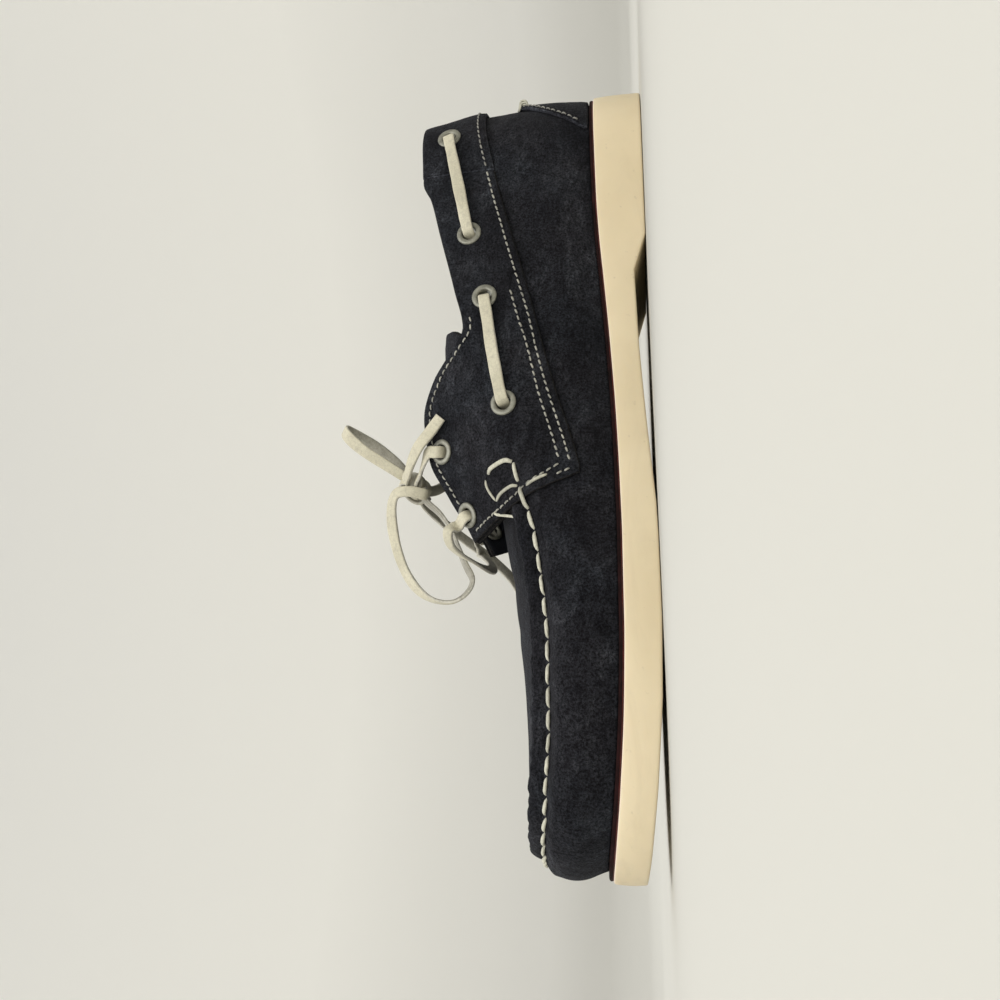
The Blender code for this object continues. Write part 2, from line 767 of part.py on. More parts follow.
def tongue():
    """The tongue, from under the apron up to its free end between the lace flaps."""
    across = 10
    layers = []
    for drop in (0.0, TONGUE):
        points = []
        for s, half_m, half_l, edge, crown in TONGUE_ROWS:
            foot, _ = spine(s, MEDIAL)
            for i in range(across + 1):
                t = 2 * i / across - 1
                x = foot[0] + t * (half_m if t < 0 else half_l)
                z = edge + (crown - edge) * (1 - abs(t) ** TONGUE_ROUND)
                points.append(np.array([x - drop * 0.3 * t, s, z - drop]))
        layers.append(points)
    return thick_sheet(
        "tongue", *layers, one_way(grid_faces(len(TONGUE_ROWS), across + 1)), suede()
    )


def ring_points(number, side, radius, out):
    """Points of the layer at height out, in a ring round an eyelet."""
    k, z = EYELETS[number]
    here = skin(k, side, z)
    per_k = np.linalg.norm(skin(k + 1, side, z) - skin(k - 1, side, z)) / 2
    per_z = np.linalg.norm(skin(k, side, z + 1) - skin(k, side, z - 1)) / 2
    assert here[2] > 0
    return [
        skin(k + radius * math.cos(a) / per_k, side, z + radius * math.sin(a) / per_z, out)
        for a in np.linspace(0, 2 * math.pi, 16, endpoint=False)
    ]


def eyelet_frame(number, side):
    """Centre on the upper's outside, outward normal, and the way forward, at an eyelet.
    The normal is that of the flat ring that best lies on the suede."""
    k, z = EYELETS[number]
    centre = skin(k, side, z)
    ring = np.array(ring_points(number, side, EYELET_OUTER, 0.0))
    normal = np.linalg.svd(ring - ring.mean(axis=0))[2][2]
    normal *= math.copysign(1.0, normal @ skin_normal(k, side, z))
    ahead = skin(k + 1, side, z) - skin(k - 1, side, z)
    ahead -= normal * (ahead @ normal)
    return centre, normal, ahead / np.linalg.norm(ahead)


def seat(number, side):
    """How high above the upper's outside the flange sits, to clear the suede under it."""
    centre, normal, _ = eyelet_frame(number, side)
    tops = [
        (p - centre) @ normal
        for radius in (0.0, 2.0, 3.5, EYELET_OUTER)
        for p in ring_points(number, side, radius, OVER_GAP + cover(number))
    ]
    return max(tops) + GAP


def cover(number):
    """The thickness of suede laid on the upper at an eyelet."""
    return TAB if EYELETS[number][0] < TAB_END else BAND


def turned(name, centre, axis, profile, finish, around=12):
    """A ring turned from a closed profile of radius and height along the axis."""
    first = np.cross(axis, (0.0, 0.0, 1.0))
    first /= np.linalg.norm(first)
    second = np.cross(axis, first)
    n = len(profile)
    points = []
    for i in range(around):
        turn = 2 * math.pi * i / around
        out = first * math.cos(turn) + second * math.sin(turn)
        points += [centre + out * r + axis * h for r, h in profile]
    faces = [
        (i * n + j, i * n + (j + 1) % n, (i + 1) % around * n + (j + 1) % n,
         (i + 1) % around * n + j)
        for i in range(around)
        for j in range(n)
    ]  # fmt: skip
    return mesh_object(name, points, faces, finish)


def eyelet(number, side):
    """A metal eyelet: a rounded flange outside and a barrel through the suede."""
    centre, normal, _ = eyelet_frame(number, side)
    low = seat(number, side)
    high, deep, bore = low + EYELET_FLANGE, -WALL - 0.4, EYELET_HOLE
    profile = [
        (bore, deep),
        (bore + BARREL_WALL, deep),
        (bore + BARREL_WALL, low),
        (EYELET_OUTER, low),
        (EYELET_OUTER - 0.4, high - 0.1),
        (bore + 0.4, high),
        (bore, high - 0.4),
    ]
    name = f"eyelet_{'inner' if side == MEDIAL else 'outer'}_{number + 1}"
    return turned(name, centre, normal, profile, steel())


def hole_cutter(number, side):
    centre, normal, _ = eyelet_frame(number, side)
    radius = EYELET_HOLE + BARREL_WALL + GAP
    first = np.cross(normal, (0.0, 0.0, 1.0))
    first /= np.linalg.norm(first)
    second = np.cross(normal, first)
    points, around = [], 12
    for high in (-WALL - 3.0, 4.0):
        for i in range(around):
            turn = 2 * math.pi * i / around
            out = (first * math.cos(turn) + second * math.sin(turn)) * radius
            points.append(centre + out + normal * high)
    faces = [(i, (i + 1) % around, around + (i + 1) % around, around + i) for i in range(around)]
    faces += [tuple(range(around))[::-1], tuple(range(around, 2 * around))]
    cutter = mesh_object(f"cut_{number}_{side + 1}", points, faces, suede())
    cutter.hide_render = True
    cutter.display_type = "WIRE"
    return cutter


def cut_holes(target, side, numbers):
    for number in numbers:
        bore = target.modifiers.new("eyelet hole", "BOOLEAN")
        bore.operation = "DIFFERENCE"
        bore.solver = "EXACT"
        bore.object = CUTTERS[(number, side)]


CUTTERS = {}


def lace_height(number, side):
    """Height of the lace's middle above the upper's outside, over an eyelet's flange."""
    return seat(number, side) + EYELET_FLANGE + LACE_LIFT + LACE_THICK / 2


def lace_bar(name, back, front, side):
    """A bar of lace outside the shoe, turning in through the eyelets at both ends."""
    path, ups = [], []
    ends = []
    for number, way in ((back, 1), (front, -1)):
        centre, normal, ahead = eyelet_frame(number, side)
        to = eyelet_frame(front if way == 1 else back, side)[0] - centre
        to -= normal * (to @ normal)
        to /= np.linalg.norm(to)
        h = lace_height(number, side)
        rise = [(-WALL - 1.6, 0.0), (0.2, 0.0), (h - 1.5, 0.1), (h - 0.45, 0.65), (h, 1.9)]
        lift = [centre + normal * up + to * run for up, run in rise]
        flat = [-to, -to, -to, normal - to, normal]
        ends.append((lift, flat))
    path += ends[0][0]
    ups += ends[0][1]
    (k0, z0), (k1, z1) = EYELETS[back], EYELETS[front]
    h0, h1 = lace_height(back, side), lace_height(front, side)
    for i in range(1, 8):
        t = i / 8
        k, z = k0 + (k1 - k0) * t, z0 + (z1 - z0) * t
        h = h0 + (h1 - h0) * t
        path.append(skin(k, side, z, h))
        ups.append(skin_normal(k, side, z))
    path += reversed(ends[1][0])
    ups += reversed(ends[1][1])
    return flat_cord(name, path, ups, rawhide())


def lace_rise(side):
    """From the rear flap eyelet over the flap's edge to the knot."""
    centre, normal, ahead = eyelet_frame(4, side)
    h = lace_height(4, side)
    up = np.cross(ahead, normal) * (-side)
    if up[2] < 0:
        up = -up
    foot_x = spine(EYELETS[4][0], side)[0][0]
    path = [centre + normal * a + up * b for a, b in ((-WALL - 0.2, 0), (0.2, 0), (h - 1.5, 0.1))]
    path += [centre + normal * a + up * b for a, b in ((h - 0.45, 0.65), (h, 1.9), (h + 0.3, 5.0))]
    path += [
        np.array([foot_x + side * 15.2, 156.8, 84.4]),
        np.array([foot_x + side * 11.6, 159.2, 86.4]),
        np.array([KNOT[0] + side * (KNOT_SIZE[0] + 1.2), KNOT[1], KNOT[2] - 2.5]),
    ]
    ups = [-up, -up, -up, normal - up, normal, normal]
    ups += [(side * 0.6, -0.1, 1.0), (side * 0.2, -0.1, 1.0), (0.0, -0.1, 1.0)]
    return flat_cord(
        "lace_rise_inner" if side == MEDIAL else "lace_rise_outer",
        path,
        [np.array(u, float) for u in ups],
        rawhide(),
    )


# the slack front bar, from the inner flap's tip to the outer one's: x, distance from the heel,
# height, and the way that its flat side faces
CROSS = [
    (-20.6, 182.6, 73.0, -0.7, 0.3, 0.6),
    (-17.0, 187.0, 73.0, -0.4, 0.7, 0.6),
    (-12.4, 189.8, 70.4, -0.2, 0.8, 0.6),
    (-7.0, 191.6, 66.9, -0.1, 0.85, 0.6),
    (0.0, 193.2, 63.6, 0.0, 0.8, 0.6),
    (7.0, 192.6, 62.4, 0.1, 0.8, 0.6),
    (13.5, 190.0, 63.6, 0.2, 0.8, 0.6),
    (18.8, 186.4, 66.8, 0.4, 0.7, 0.6),
    (22.0, 183.2, 70.2, 0.7, 0.3, 0.6),
]  # fmt: skip


def lace_cross():
    """The front bar: out of the front flap eyelets, round the flaps' tips and across."""
    half = {}
    for side in (MEDIAL, LATERAL):
        centre, normal, ahead = eyelet_frame(5, side)
        h = lace_height(5, side)
        to = 0.75 * ahead + np.array([0, 0, 0.8])
        to -= normal * (to @ normal)
        to /= np.linalg.norm(to)
        rise = [(-WALL - 0.2, 0), (0.2, 0), (h - 1.5, 0.1), (h - 0.45, 0.65), (h, 1.9), (h + 0.2, 5.0)]
        ups = [-to, -to, -to, normal - to, normal, normal]
        half[side] = [[*(centre + normal * a + to * b), *u] for (a, b), u in zip(rise, ups)]
    free = [half[MEDIAL][-1], *CROSS, half[LATERAL][-1]]
    rows = np.array([*half[MEDIAL][:-1], *smooth_path(free, 20), *half[LATERAL][-2::-1]])
    return flat_cord("lace_cross", rows[:, :3], rows[:, 3:], rawhide())


def knot():
    """The tied knot of the bow, as one rounded lump."""
    points, rings, around = [], 6, 10
    for i in range(1, rings):
        a = math.pi * i / rings
        for j in range(around):
            b = 2 * math.pi * j / around
            points.append(
                np.array(KNOT)
                + np.array(KNOT_SIZE)
                * np.array([math.sin(a) * math.cos(b), math.sin(a) * math.sin(b), math.cos(a)])
            )
    top, low = len(points), len(points) + 1
    points += [np.array(KNOT) + (0, 0, KNOT_SIZE[2]), np.array(KNOT) - (0, 0, KNOT_SIZE[2])]
    faces = []
    for i in range(rings - 2):
        for j in range(around):
            n = (j + 1) % around
            faces.append((i * around + j, i * around + n, (i + 1) * around + n, (i + 1) * around + j))
    last = (rings - 2) * around
    faces += [(top, j, (j + 1) % around) for j in range(around)]
    faces += [(low, last + (j + 1) % around, last + j) for j in range(around)]
    return mesh_object("lace_knot", points, faces, rawhide())


# for each length of lace that leaves the knot: x, distance from the heel, height, the way that
# its flat side faces, and how many points its solid has
BOW = {
    "lace_loop_up": ([
        (-8.2, 157.4, 95.2, -0.75, 0.45, 0.45), (-11.3, 153.8, 101.2, -0.75, 0.45, 0.45),
        (-14.0, 148.8, 109.0, -0.75, 0.45, 0.45), (-14.4, 143.2, 115.2, -0.5, 0.0, 0.8),
        (-11.8, 139.6, 117.6, 0.1, -0.55, 0.82), (-8.0, 139.9, 115.4, 0.6, -0.6, 0.2),
        (-5.0, 143.6, 108.6, 0.75, -0.45, -0.45), (-3.4, 149.2, 101.4, 0.75, -0.45, -0.45),
        (-3.0, 154.2, 96.6, 0.75, -0.45, -0.45)], 20),
    "lace_loop_down": ([
        (-8.0, 165.6, 85.2, -0.9, 0.5, -0.3), (-9.8, 165.0, 88.8, -1.0, 0.3, 0.0),
        (-9.9, 164.6, 93.2, -1.0, 0.1, 0.2), (-8.8, 165.2, 96.8, -0.9, 0.0, 0.6),
        (-7.0, 168.2, 98.8, -0.4, 0.0, 0.95), (-5.2, 173.6, 99.4, 0.1, 0.1, 1.0),
        (-3.8, 180.6, 98.6, 0.3, 0.15, 1.0), (-3.2, 188.4, 96.4, 0.4, 0.35, 0.95),
        (-3.0, 195.6, 93.0, 0.4, 0.6, 0.8), (-3.0, 201.6, 88.2, 0.4, 0.85, 0.6),
        (-3.5, 205.4, 81.8, 0.4, 1.0, 0.1), (-4.0, 206.0, 74.8, 0.4, 1.0, -0.15),
        (-4.5, 203.0, 69.6, 0.4, 0.8, -0.6), (-4.6, 198.2, 67.4, 0.4, 0.1, -1.0),
        (-3.6, 192.6, 70.2, 0.4, -0.3, -1.0), (-2.4, 186.4, 73.2, 0.4, -0.5, -0.9),
        (-1.4, 179.0, 76.4, 0.4, -0.7, -0.8), (-0.9, 172.0, 81.2, 0.4, -0.8, -0.6),
        (-0.7, 167.0, 86.6, 0.4, -0.9, -0.4)], 36),
    "lace_end_up": ([
        (-9.4, 160.4, 93.2, -0.6, 0.2, 0.8), (-12.8, 158.4, 91.2, -0.7, 0.1, 0.7),
        (-17.4, 155.4, 88.6, -0.75, 0.0, 0.65), (-22.2, 151.2, 84.6, -0.85, 0.0, 0.5),
        (-24.9, 146.6, 79.6, -0.9, 0.0, 0.45), (-26.4, 141.8, 75.4, -0.9, 0.0, 0.4)], 9),
    "lace_end_down": ([
        (6.0, 162.2, 91.8, 0.2, 0.2, 1.0), (13.0, 164.0, 92.4, 0.3, 0.2, 1.0),
        (20.5, 168.4, 88.0, 0.5, 0.2, 1.0), (27.0, 176.4, 78.0, 0.7, 0.2, 0.8),
        (31.5, 184.6, 67.0, 0.8, 0.2, 0.7), (34.5, 193.0, 58.5, 0.8, 0.2, 0.6),
        (38.0, 202.0, 54.0, 0.9, 0.2, 0.5), (43.0, 211.0, 50.5, 0.9, 0.2, 0.5)], 16),
}  # fmt: skip


def bow():
    for name, (rows, count) in BOW.items():
        free_cord(name, rows, count)


def outline_centre():
    xs = [
        place(k, side, edge_of_sole(k, side), 0)[0] for k in SOLE_STATIONS for side in (-1, 1)
    ]
    return (min(xs) + max(xs)) / 2


def main():
    global CENTRE_X
    for old in list(bpy.data.objects):
        bpy.data.objects.remove(old)
    CENTRE_X = outline_centre()
    outsole()
    rand()
    insole()
    tongue()
    every = range(len(EYELETS))
    for side in (MEDIAL, LATERAL):
        for number in every:
            CUTTERS[(number, side)] = hole_cutter(number, side)
    shell, tab = upper(), heel_tab()
    heel_patch()
    for side in (MEDIAL, LATERAL):
        band = collar_band(side)
        cut_holes(shell, side, every)
        cut_holes(band, side, [n for n in every if EYELETS[n][0] > TAB_END])
        cut_holes(tab, side, [n for n in every if EYELETS[n][0] < TAB_END])
        for number in every:
            eyelet(number, side)
        which = "inner" if side == MEDIAL else "outer"
        lace_bar(f"lace_bar_{which}_rear", 0, 1, side)
        lace_bar(f"lace_bar_{which}_front", 2, 3, side)
        lace_rise(side)
    lace_cross()
    knot()
    bow()


main()
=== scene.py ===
"""The looks of the right shoe of a pair of suede deck shoes: scene, materials, fine
surfaces, stitches, laces. Tables are in millimetres, as in the part's own source, and the
form is worked out on the same stations: K turns round the heel, runs straight up the shoe
as the distance from the back of the heel, and turns round the toe."""

import math

import bmesh
import bpy
import numpy as np
from mathutils import Matrix, Vector


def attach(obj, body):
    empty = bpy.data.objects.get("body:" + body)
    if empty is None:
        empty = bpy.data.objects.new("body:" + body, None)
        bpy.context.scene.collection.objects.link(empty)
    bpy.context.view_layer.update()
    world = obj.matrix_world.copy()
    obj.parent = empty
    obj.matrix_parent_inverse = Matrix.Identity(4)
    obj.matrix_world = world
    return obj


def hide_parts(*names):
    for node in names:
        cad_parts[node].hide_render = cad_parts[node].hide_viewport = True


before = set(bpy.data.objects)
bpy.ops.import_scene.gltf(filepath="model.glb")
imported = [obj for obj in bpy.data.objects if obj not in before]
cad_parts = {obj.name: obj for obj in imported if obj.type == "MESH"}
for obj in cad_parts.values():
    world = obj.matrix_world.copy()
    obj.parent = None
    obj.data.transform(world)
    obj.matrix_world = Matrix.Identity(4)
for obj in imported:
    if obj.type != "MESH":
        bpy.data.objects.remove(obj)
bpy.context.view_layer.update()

MM = 0.001
MEDIAL, LATERAL = -1, 1
LENGTH = 298.0
HEEL_END, TOE_START = 34.0, 254.0
HEEL_CENTRE, TOE_CENTRE = -16.0, 324.0
SPINE_X_HEEL, SPINE_X_TOE = 2.0, -4.0

WALL, BAND, TAB, TONGUE = 1.8, 1.1, 1.5, 2.0
GAP, OVER_GAP = 0.3, 0.5
RAND, RAND_INSET = 1.1, 0.8
INSOLE, INSOLE_GAP = 3.5, 0.6
SEAM_LEAST, SEAM_RIDGE, SEAM_THICK, SEAM_LEAN, SEAM_STEP_IN = 0.4, 5.2, 3.2, 0.25, 2.4
SEAM_FROM, SEAM_GROWS, SEAM_LOWERS, SEAM_AT_TOE = 171.0, 9.0, 268.0, 0.74
LACE_WIDTH, LACE_THICK, LACE_LIFT = 4.4, 1.5, 0.3
EYELET_HOLE, EYELET_OUTER, EYELET_FLANGE = 2.6, 4.7, 0.7

# station, R of the inner edge, R of the outer edge
OUTLINE = np.array([
    (-16.0, 34.0, 34.0), (9.0, 33.6, 33.8), (34.0, 32.3, 32.6), (60.0, 31.0, 33.0),
    (85.0, 28.8, 35.2), (110.0, 27.8, 37.6), (135.0, 30.0, 41.2), (160.0, 35.4, 45.9),
    (185.0, 42.4, 50.4), (210.0, 47.4, 53.6), (230.0, 49.0, 54.0), (254.0, 48.0, 50.8),
    (271.5, 46.8, 47.4), (289.0, 45.8, 45.2), (306.5, 44.6, 44.2), (324.0, 44.0, 44.0),
])
# distance from the back of the heel, top of the sole, underside
SOLE_PROFILE = np.array([
    (0.0, 18.2, 0.0), (60.0, 17.4, 0.0), (76.0, 16.7, 0.0), (90.0, 15.7, 4.4),
    (120.0, 13.7, 3.7), (150.0, 12.2, 2.1), (180.0, 11.3, 0.2), (190.0, 11.1, 0.0),
    (216.0, 11.1, 0.0), (240.0, 11.8, 0.8), (265.0, 13.6, 3.0), (285.0, 15.9, 5.4),
    (298.0, 17.8, 7.3),
])
# station, inset, zb, bulge inner, bulge outer, z_w, r_w inner, r_w outer, z_t, r_t
SECTIONS = np.array([
    (-16.0, 3.4, 20.0, 0.8, 0.8, 58.0, 30.6, 30.6, 86.0, 25.5),
    (9.0, 2.8, 20.0, 1.2, 1.2, 58.0, 31.6, 31.6, 86.0, 28.2),
    (34.0, 2.0, 15.0, 2.0, 1.8, 58.0, 31.2, 31.6, 84.6, 29.6),
    (47.0, 1.8, 15.0, 2.4, 1.8, 56.0, 31.6, 32.2, 83.6, 30.2),
    (54.0, 1.6, 15.0, 2.6, 1.8, 55.0, 31.8, 32.5, 80.4, 30.4),
    (70.0, 1.4, 16.0, 3.2, 1.8, 52.0, 32.2, 33.2, 76.2, 30.8),
    (95.0, 1.2, 16.0, 4.4, 1.6, 48.0, 32.4, 34.8, 69.6, 31.3),
    (110.0, 1.2, 16.0, 4.6, 1.4, 46.0, 32.6, 35.8, 66.2, 30.8),
    (118.0, 1.3, 16.0, 4.2, 1.3, 46.0, 32.8, 36.2, 71.6, 27.2),
    (127.0, 1.4, 15.0, 3.6, 1.2, 46.0, 33.0, 36.6, 78.6, 22.6),
    (140.0, 1.6, 14.0, 2.6, 1.1, 46.0, 32.8, 37.0, 83.0, 17.6),
    (155.0, 1.8, 13.0, 1.9, 1.0, 46.0, 32.8, 37.4, 81.0, 14.6),
    (170.0, 2.0, 12.0, 1.4, 1.0, 44.6, 33.6, 38.0, 73.2, 13.4),
    (182.0, 2.0, 11.5, 1.2, 1.0, 42.0, 34.6, 38.8, 65.6, 13.8),
    (200.0, 2.0, 11.0, 1.2, 1.0, 38.2, 36.0, 40.2, 58.0, 15.0),
    (220.0, 2.2, 10.5, 1.4, 1.2, 36.0, 36.6, 40.6, 54.0, 15.0),
    (240.0, 2.4, 10.5, 1.6, 1.4, 35.6, 36.0, 39.4, 52.0, 14.0),
    (254.0, 2.6, 10.5, 1.8, 1.6, 35.8, 35.2, 37.2, 51.0, 14.0),
    (271.5, 3.0, 10.5, 2.2, 2.0, 37.0, 35.4, 36.0, 50.5, 13.0),
    (289.0, 3.4, 10.5, 2.8, 2.6, 38.4, 36.4, 36.0, 50.5, 12.0),
    (306.5, 3.6, 10.5, 3.2, 3.0, 39.8, 37.6, 37.2, 51.0, 12.0),
    (324.0, 3.6, 10.5, 3.4, 3.4, 40.6, 38.0, 38.0, 51.5, 12.0),
])
SHOULDER_UP, SHOULDER_OUT = 0.6, 0.8
APRON_CROWN = np.array([
    (170.0, 57.0), (182.0, 55.2), (200.0, 51.8), (220.0, 49.0), (250.0, 46.0), (275.0, 44.8),
    (288.0, 44.0), (298.0, 43.2),
])
APRON_ROUND = 2.2
BAND_EDGE = np.array([
    (-16.0, 62.4), (20.0, 60.4), (46.0, 55.6), (73.0, 49.0), (101.0, 41.8),
    (135.0, 33.4), (158.0, 26.6), (166.0, 24.6),
])
TAB_END = 44.0
PATCH_EDGE = np.array([
    (-16.0, 50.0), (0.0, 49.0), (8.0, 46.5), (12.0, 42.5), (16.0, 38.6), (21.0, 32.4),
    (29.0, 21.5),
])
PATCH_END = 29.0
FLAP_FOOT, FLAP_AT_SEAM, FLAP_AT_TOP = 164.0, 12.0, 22.5
LEAN_BACK, LEAN_AHEAD, VAMP_STEP = 60.0, 45.0, 1.6
# station and height of each eyelet, from the back to the front
EYELETS = np.array([
    (27.0, 74.0), (72.0, 64.6), (99.0, 58.2), (141.0, 50.4), (153.0, 75.0), (176.5, 65.0),
])
# distance from the heel, half widths on the inner and outer side, edge, crown
TONGUE_ROWS = np.array([
    (102.0, 12.0, 12.0, 77.5, 80.8), (104.5, 19.0, 19.0, 73.5, 80.8),
    (109.0, 23.0, 23.0, 69.0, 80.6), (118.0, 24.5, 25.5, 65.0, 80.0),
    (130.0, 24.5, 26.0, 62.5, 78.4), (142.0, 24.0, 26.0, 60.0, 75.4),
    (154.0, 24.0, 26.5, 56.0, 70.4), (164.0, 24.5, 27.0, 51.5, 63.6),
    (171.0, 24.5, 27.0, 46.0, 56.0), (175.0, 24.0, 26.0, 43.8, 53.0),
    (180.0, 23.0, 25.0, 42.0, 51.2), (190.0, 21.0, 23.0, 39.6, 47.8),
])
TONGUE_ROUND = 1.8
KNOT, KNOT_SIZE = (-2.0, 160.8, 91.0), (6.5, 4.6, 4.6)


# ---- curves and stations, many points at a time ----
def tangents(x, y):
    h = np.diff(x, axis=-1)
    d = np.diff(y, axis=-1) / h
    back, ahead = d[..., :-1], d[..., 1:]
    w1, w2 = 2 * h[..., 1:] + h[..., :-1], h[..., 1:] + 2 * h[..., :-1]
    same = back * ahead > 0
    safe_b, safe_a = np.where(same, back, 1.0), np.where(same, ahead, 1.0)
    inner = np.where(same, (w1 + w2) / (w1 / safe_b + w2 / safe_a), 0.0)
    return np.concatenate([d[..., :1], inner, d[..., -1:]], axis=-1)


def hermite(x, y, m, at):
    """x, y and m hold a curve's knots in each row, and at one place on each."""
    n = x.shape[-1]
    i = np.clip((at[:, None] >= x).sum(axis=1) - 1, 0, n - 2)
    row = np.arange(len(at))
    h = x[row, i + 1] - x[row, i]
    t = (at - x[row, i]) / h
    return (
        y[row, i] * (1 + 2 * t) * (1 - t) ** 2
        + m[row, i] * h * t * (1 - t) ** 2
        + y[row, i + 1] * t * t * (3 - 2 * t)
        + m[row, i + 1] * h * t * t * (t - 1)
    )


def table(rows, column, at):
    at = np.clip(np.atleast_1d(np.asarray(at, float)), rows[0, 0], rows[-1, 0])
    x, y = rows[:, 0], rows[:, column]
    one = np.ones((len(at), 1))
    return hermite(one * x, one * y, one * tangents(x, y), at)


def smoothstep(a, b, x):
    t = np.clip((np.asarray(x, float) - a) / (b - a), 0, 1)
    return t * t * (3 - 2 * t)


def arrays(*values):
    return np.broadcast_arrays(*[np.atleast_1d(np.asarray(v, float)) for v in values])


def place(k, side, r, z):
    """Points at a station, R out from the shoe's spine and at a height."""
    k, side, r, z = arrays(k, side, r, z)
    heel = np.pi / 2 * (k - HEEL_CENTRE) / (HEEL_END - HEEL_CENTRE)
    toe = np.pi / 2 * (TOE_CENTRE - k) / (TOE_CENTRE - TOE_START)
    share = np.clip((k - HEEL_END) / (TOE_START - HEEL_END), 0, 1)
    x0 = SPINE_X_HEEL + share * (SPINE_X_TOE - SPINE_X_HEEL)
    s0 = np.clip(k, HEEL_END, TOE_START)
    back, front = k < HEEL_END, k > TOE_START
    ox = np.where(back, np.sin(heel), np.where(front, np.sin(toe), 1.0)) * side
    oy = np.where(back, -np.cos(heel), np.where(front, np.cos(toe), 0.0))
    return np.stack([x0 + ox * r, s0 + oy * r, z], axis=-1)


def edge_of_sole(k, side):
    k, side = arrays(k, side)
    return np.where(side < 0, table(OUTLINE, 1, k), table(OUTLINE, 2, k))


def sole_top(s):
    return table(SOLE_PROFILE, 1, s)


def sole_under(s):
    return np.interp(s, SOLE_PROFILE[:, 0], SOLE_PROFILE[:, 2])


GRID = np.arange(HEEL_CENTRE, TOE_CENTRE + 0.01, 0.5)


def sections(side):
    c = [table(SECTIONS, i, GRID) for i in range(10)]
    edge = edge_of_sole(GRID, side)
    s = place(GRID, side, edge, 0)[:, 1]
    z_f = sole_top(s) + GAP + RAND + GAP
    r_f = edge - c[1]
    z_b, r_b = z_f + c[2], r_f + (c[3] if side < 0 else c[4])
    r_w = c[6] if side < 0 else c[7]
    z_w = c[5]
    zs = np.stack([z_f, z_b, z_b + SHOULDER_UP * (z_w - z_b), z_w, c[8]], axis=1)
    rs = np.stack([r_f, r_b, r_w + SHOULDER_OUT * (r_b - r_w), r_w, c[9]], axis=1)
    return zs, rs


TABLE = {side: sections(side) for side in (MEDIAL, LATERAL)}


def knots(k, side):
    """Heights and Rs of the section's knots, one row for each k."""
    k, side = arrays(k, side)
    at = (np.clip(k, HEEL_CENTRE, TOE_CENTRE) - HEEL_CENTRE) / 0.5
    i = np.minimum(at.astype(int), len(GRID) - 2)
    f = (at - i)[:, None]
    inner, outer = (
        [rows[i] * (1 - f) + rows[i + 1] * f for rows in TABLE[which]]
        for which in (MEDIAL, LATERAL)
    )
    return [np.where((side < 0)[:, None], m, l) for m, l in zip(inner, outer)]


def skin(k, side, z, out=0.0):
    """Points on the wall's even form, or out from it along its normal."""
    k, side, z, out = arrays(k, side, z, out)
    zs, rs = knots(k, side)
    m = tangents(zs, rs)
    z = np.clip(z, zs[:, 0], zs[:, -1])
    r = hermite(zs, rs, m, z)
    hi, lo = np.minimum(z + 0.4, zs[:, -1]), np.maximum(z - 0.4, zs[:, 0])
    slope = (hermite(zs, rs, m, hi) - hermite(zs, rs, m, lo)) / (hi - lo)
    n = np.sqrt(1 + slope * slope)
    return place(k, side, r + out / n, z - out * slope / n)


def unit(v):
    return v / np.maximum(np.linalg.norm(v, axis=-1, keepdims=True), 1e-9)


def skin_normal(k, side, z):
    return unit(skin(k, side, z, 1.0) - skin(k, side, z))


def feather(k, side):
    return knots(k, side)[0][:, 0]


def seam_height(k):
    return table(SECTIONS, 5, k)


def top_height(k):
    return table(SECTIONS, 8, k)


def lean(k, climb):
    """How far a column of the wall leans towards the toe: most at the laces' flap."""
    k, climb = arrays(k, climb)
    away = np.where(k <= FLAP_FOOT, (FLAP_FOOT - k) / LEAN_BACK, (k - FLAP_FOOT) / LEAN_AHEAD)
    full = np.interp(climb, (0, 1, 2), (0, FLAP_AT_SEAM, FLAP_AT_TOP))
    return smoothstep(0, 1, 1 - away) * full


def climbed(k, side, climb):
    """Station and height at a climb: 0 at the feather line, 1 at the seam, 2 at the top."""
    k, side, climb = arrays(k, side, climb)
    here = k + lean(k, climb)
    low, mid, high = feather(here, side), seam_height(here), top_height(here)
    z = np.where(climb <= 1, low + (mid - low) * climb, mid + (high - mid) * (climb - 1))
    return here, z


def climb_to(k, side, edge, off=0.0):
    """The climb at which the wall at base station k crosses a table's height plus off."""
    k, side = arrays(k, side)
    low, high = np.zeros(len(k)), np.full(len(k), 2.0)
    for _ in range(24):
        mid = (low + high) / 2
        here, z = climbed(k, side, mid)
        above = z > table(edge, 1, here) + off
        low, high = np.where(above, low, mid), np.where(above, mid, high)
    return low


def risen(k):
    """The share of its full height that the raised seam has."""
    sunk = np.clip((np.asarray(k, float) - SEAM_LOWERS) / (TOE_CENTRE - SEAM_LOWERS), 0, None)
    return smoothstep(SEAM_FROM, SEAM_FROM + SEAM_GROWS, k) * (1 - (1 - SEAM_AT_TOE) * sunk)


OUTLINE_X = np.concatenate([place(GRID, s, edge_of_sole(GRID, s), 0)[:, 0] for s in (-1, 1)])
CENTRE_X = (OUTLINE_X.min() + OUTLINE_X.max()) / 2


def ridge_height(grown):
    return SEAM_LEAST + (SEAM_RIDGE - SEAM_LEAST) * grown


def round_the_shoe(ks):
    """Stations and sides once round: up the inner side and back down the outer one."""
    return np.concatenate([ks[:-1], ks[:0:-1]]), np.repeat([-1.0, 1.0], len(ks) - 1)


def round_the_heel(ks):
    """Stations and sides from the inner side's last station to the outer side's."""
    return np.concatenate([ks[::-1], ks[1:]]), np.repeat([-1.0, 1.0], [len(ks), len(ks) - 1])


def run_along(points):
    """How far along a line each of its points lies."""
    return np.concatenate([[0], np.cumsum(np.linalg.norm(np.diff(points, axis=0), axis=1))])


def side_name(side):
    return "inner" if side == MEDIAL else "outer"


def metres(p):
    p = np.asarray(p, float)
    return np.stack([p[..., 0] - CENTRE_X, p[..., 1] - LENGTH / 2, p[..., 2]], axis=-1) * MM


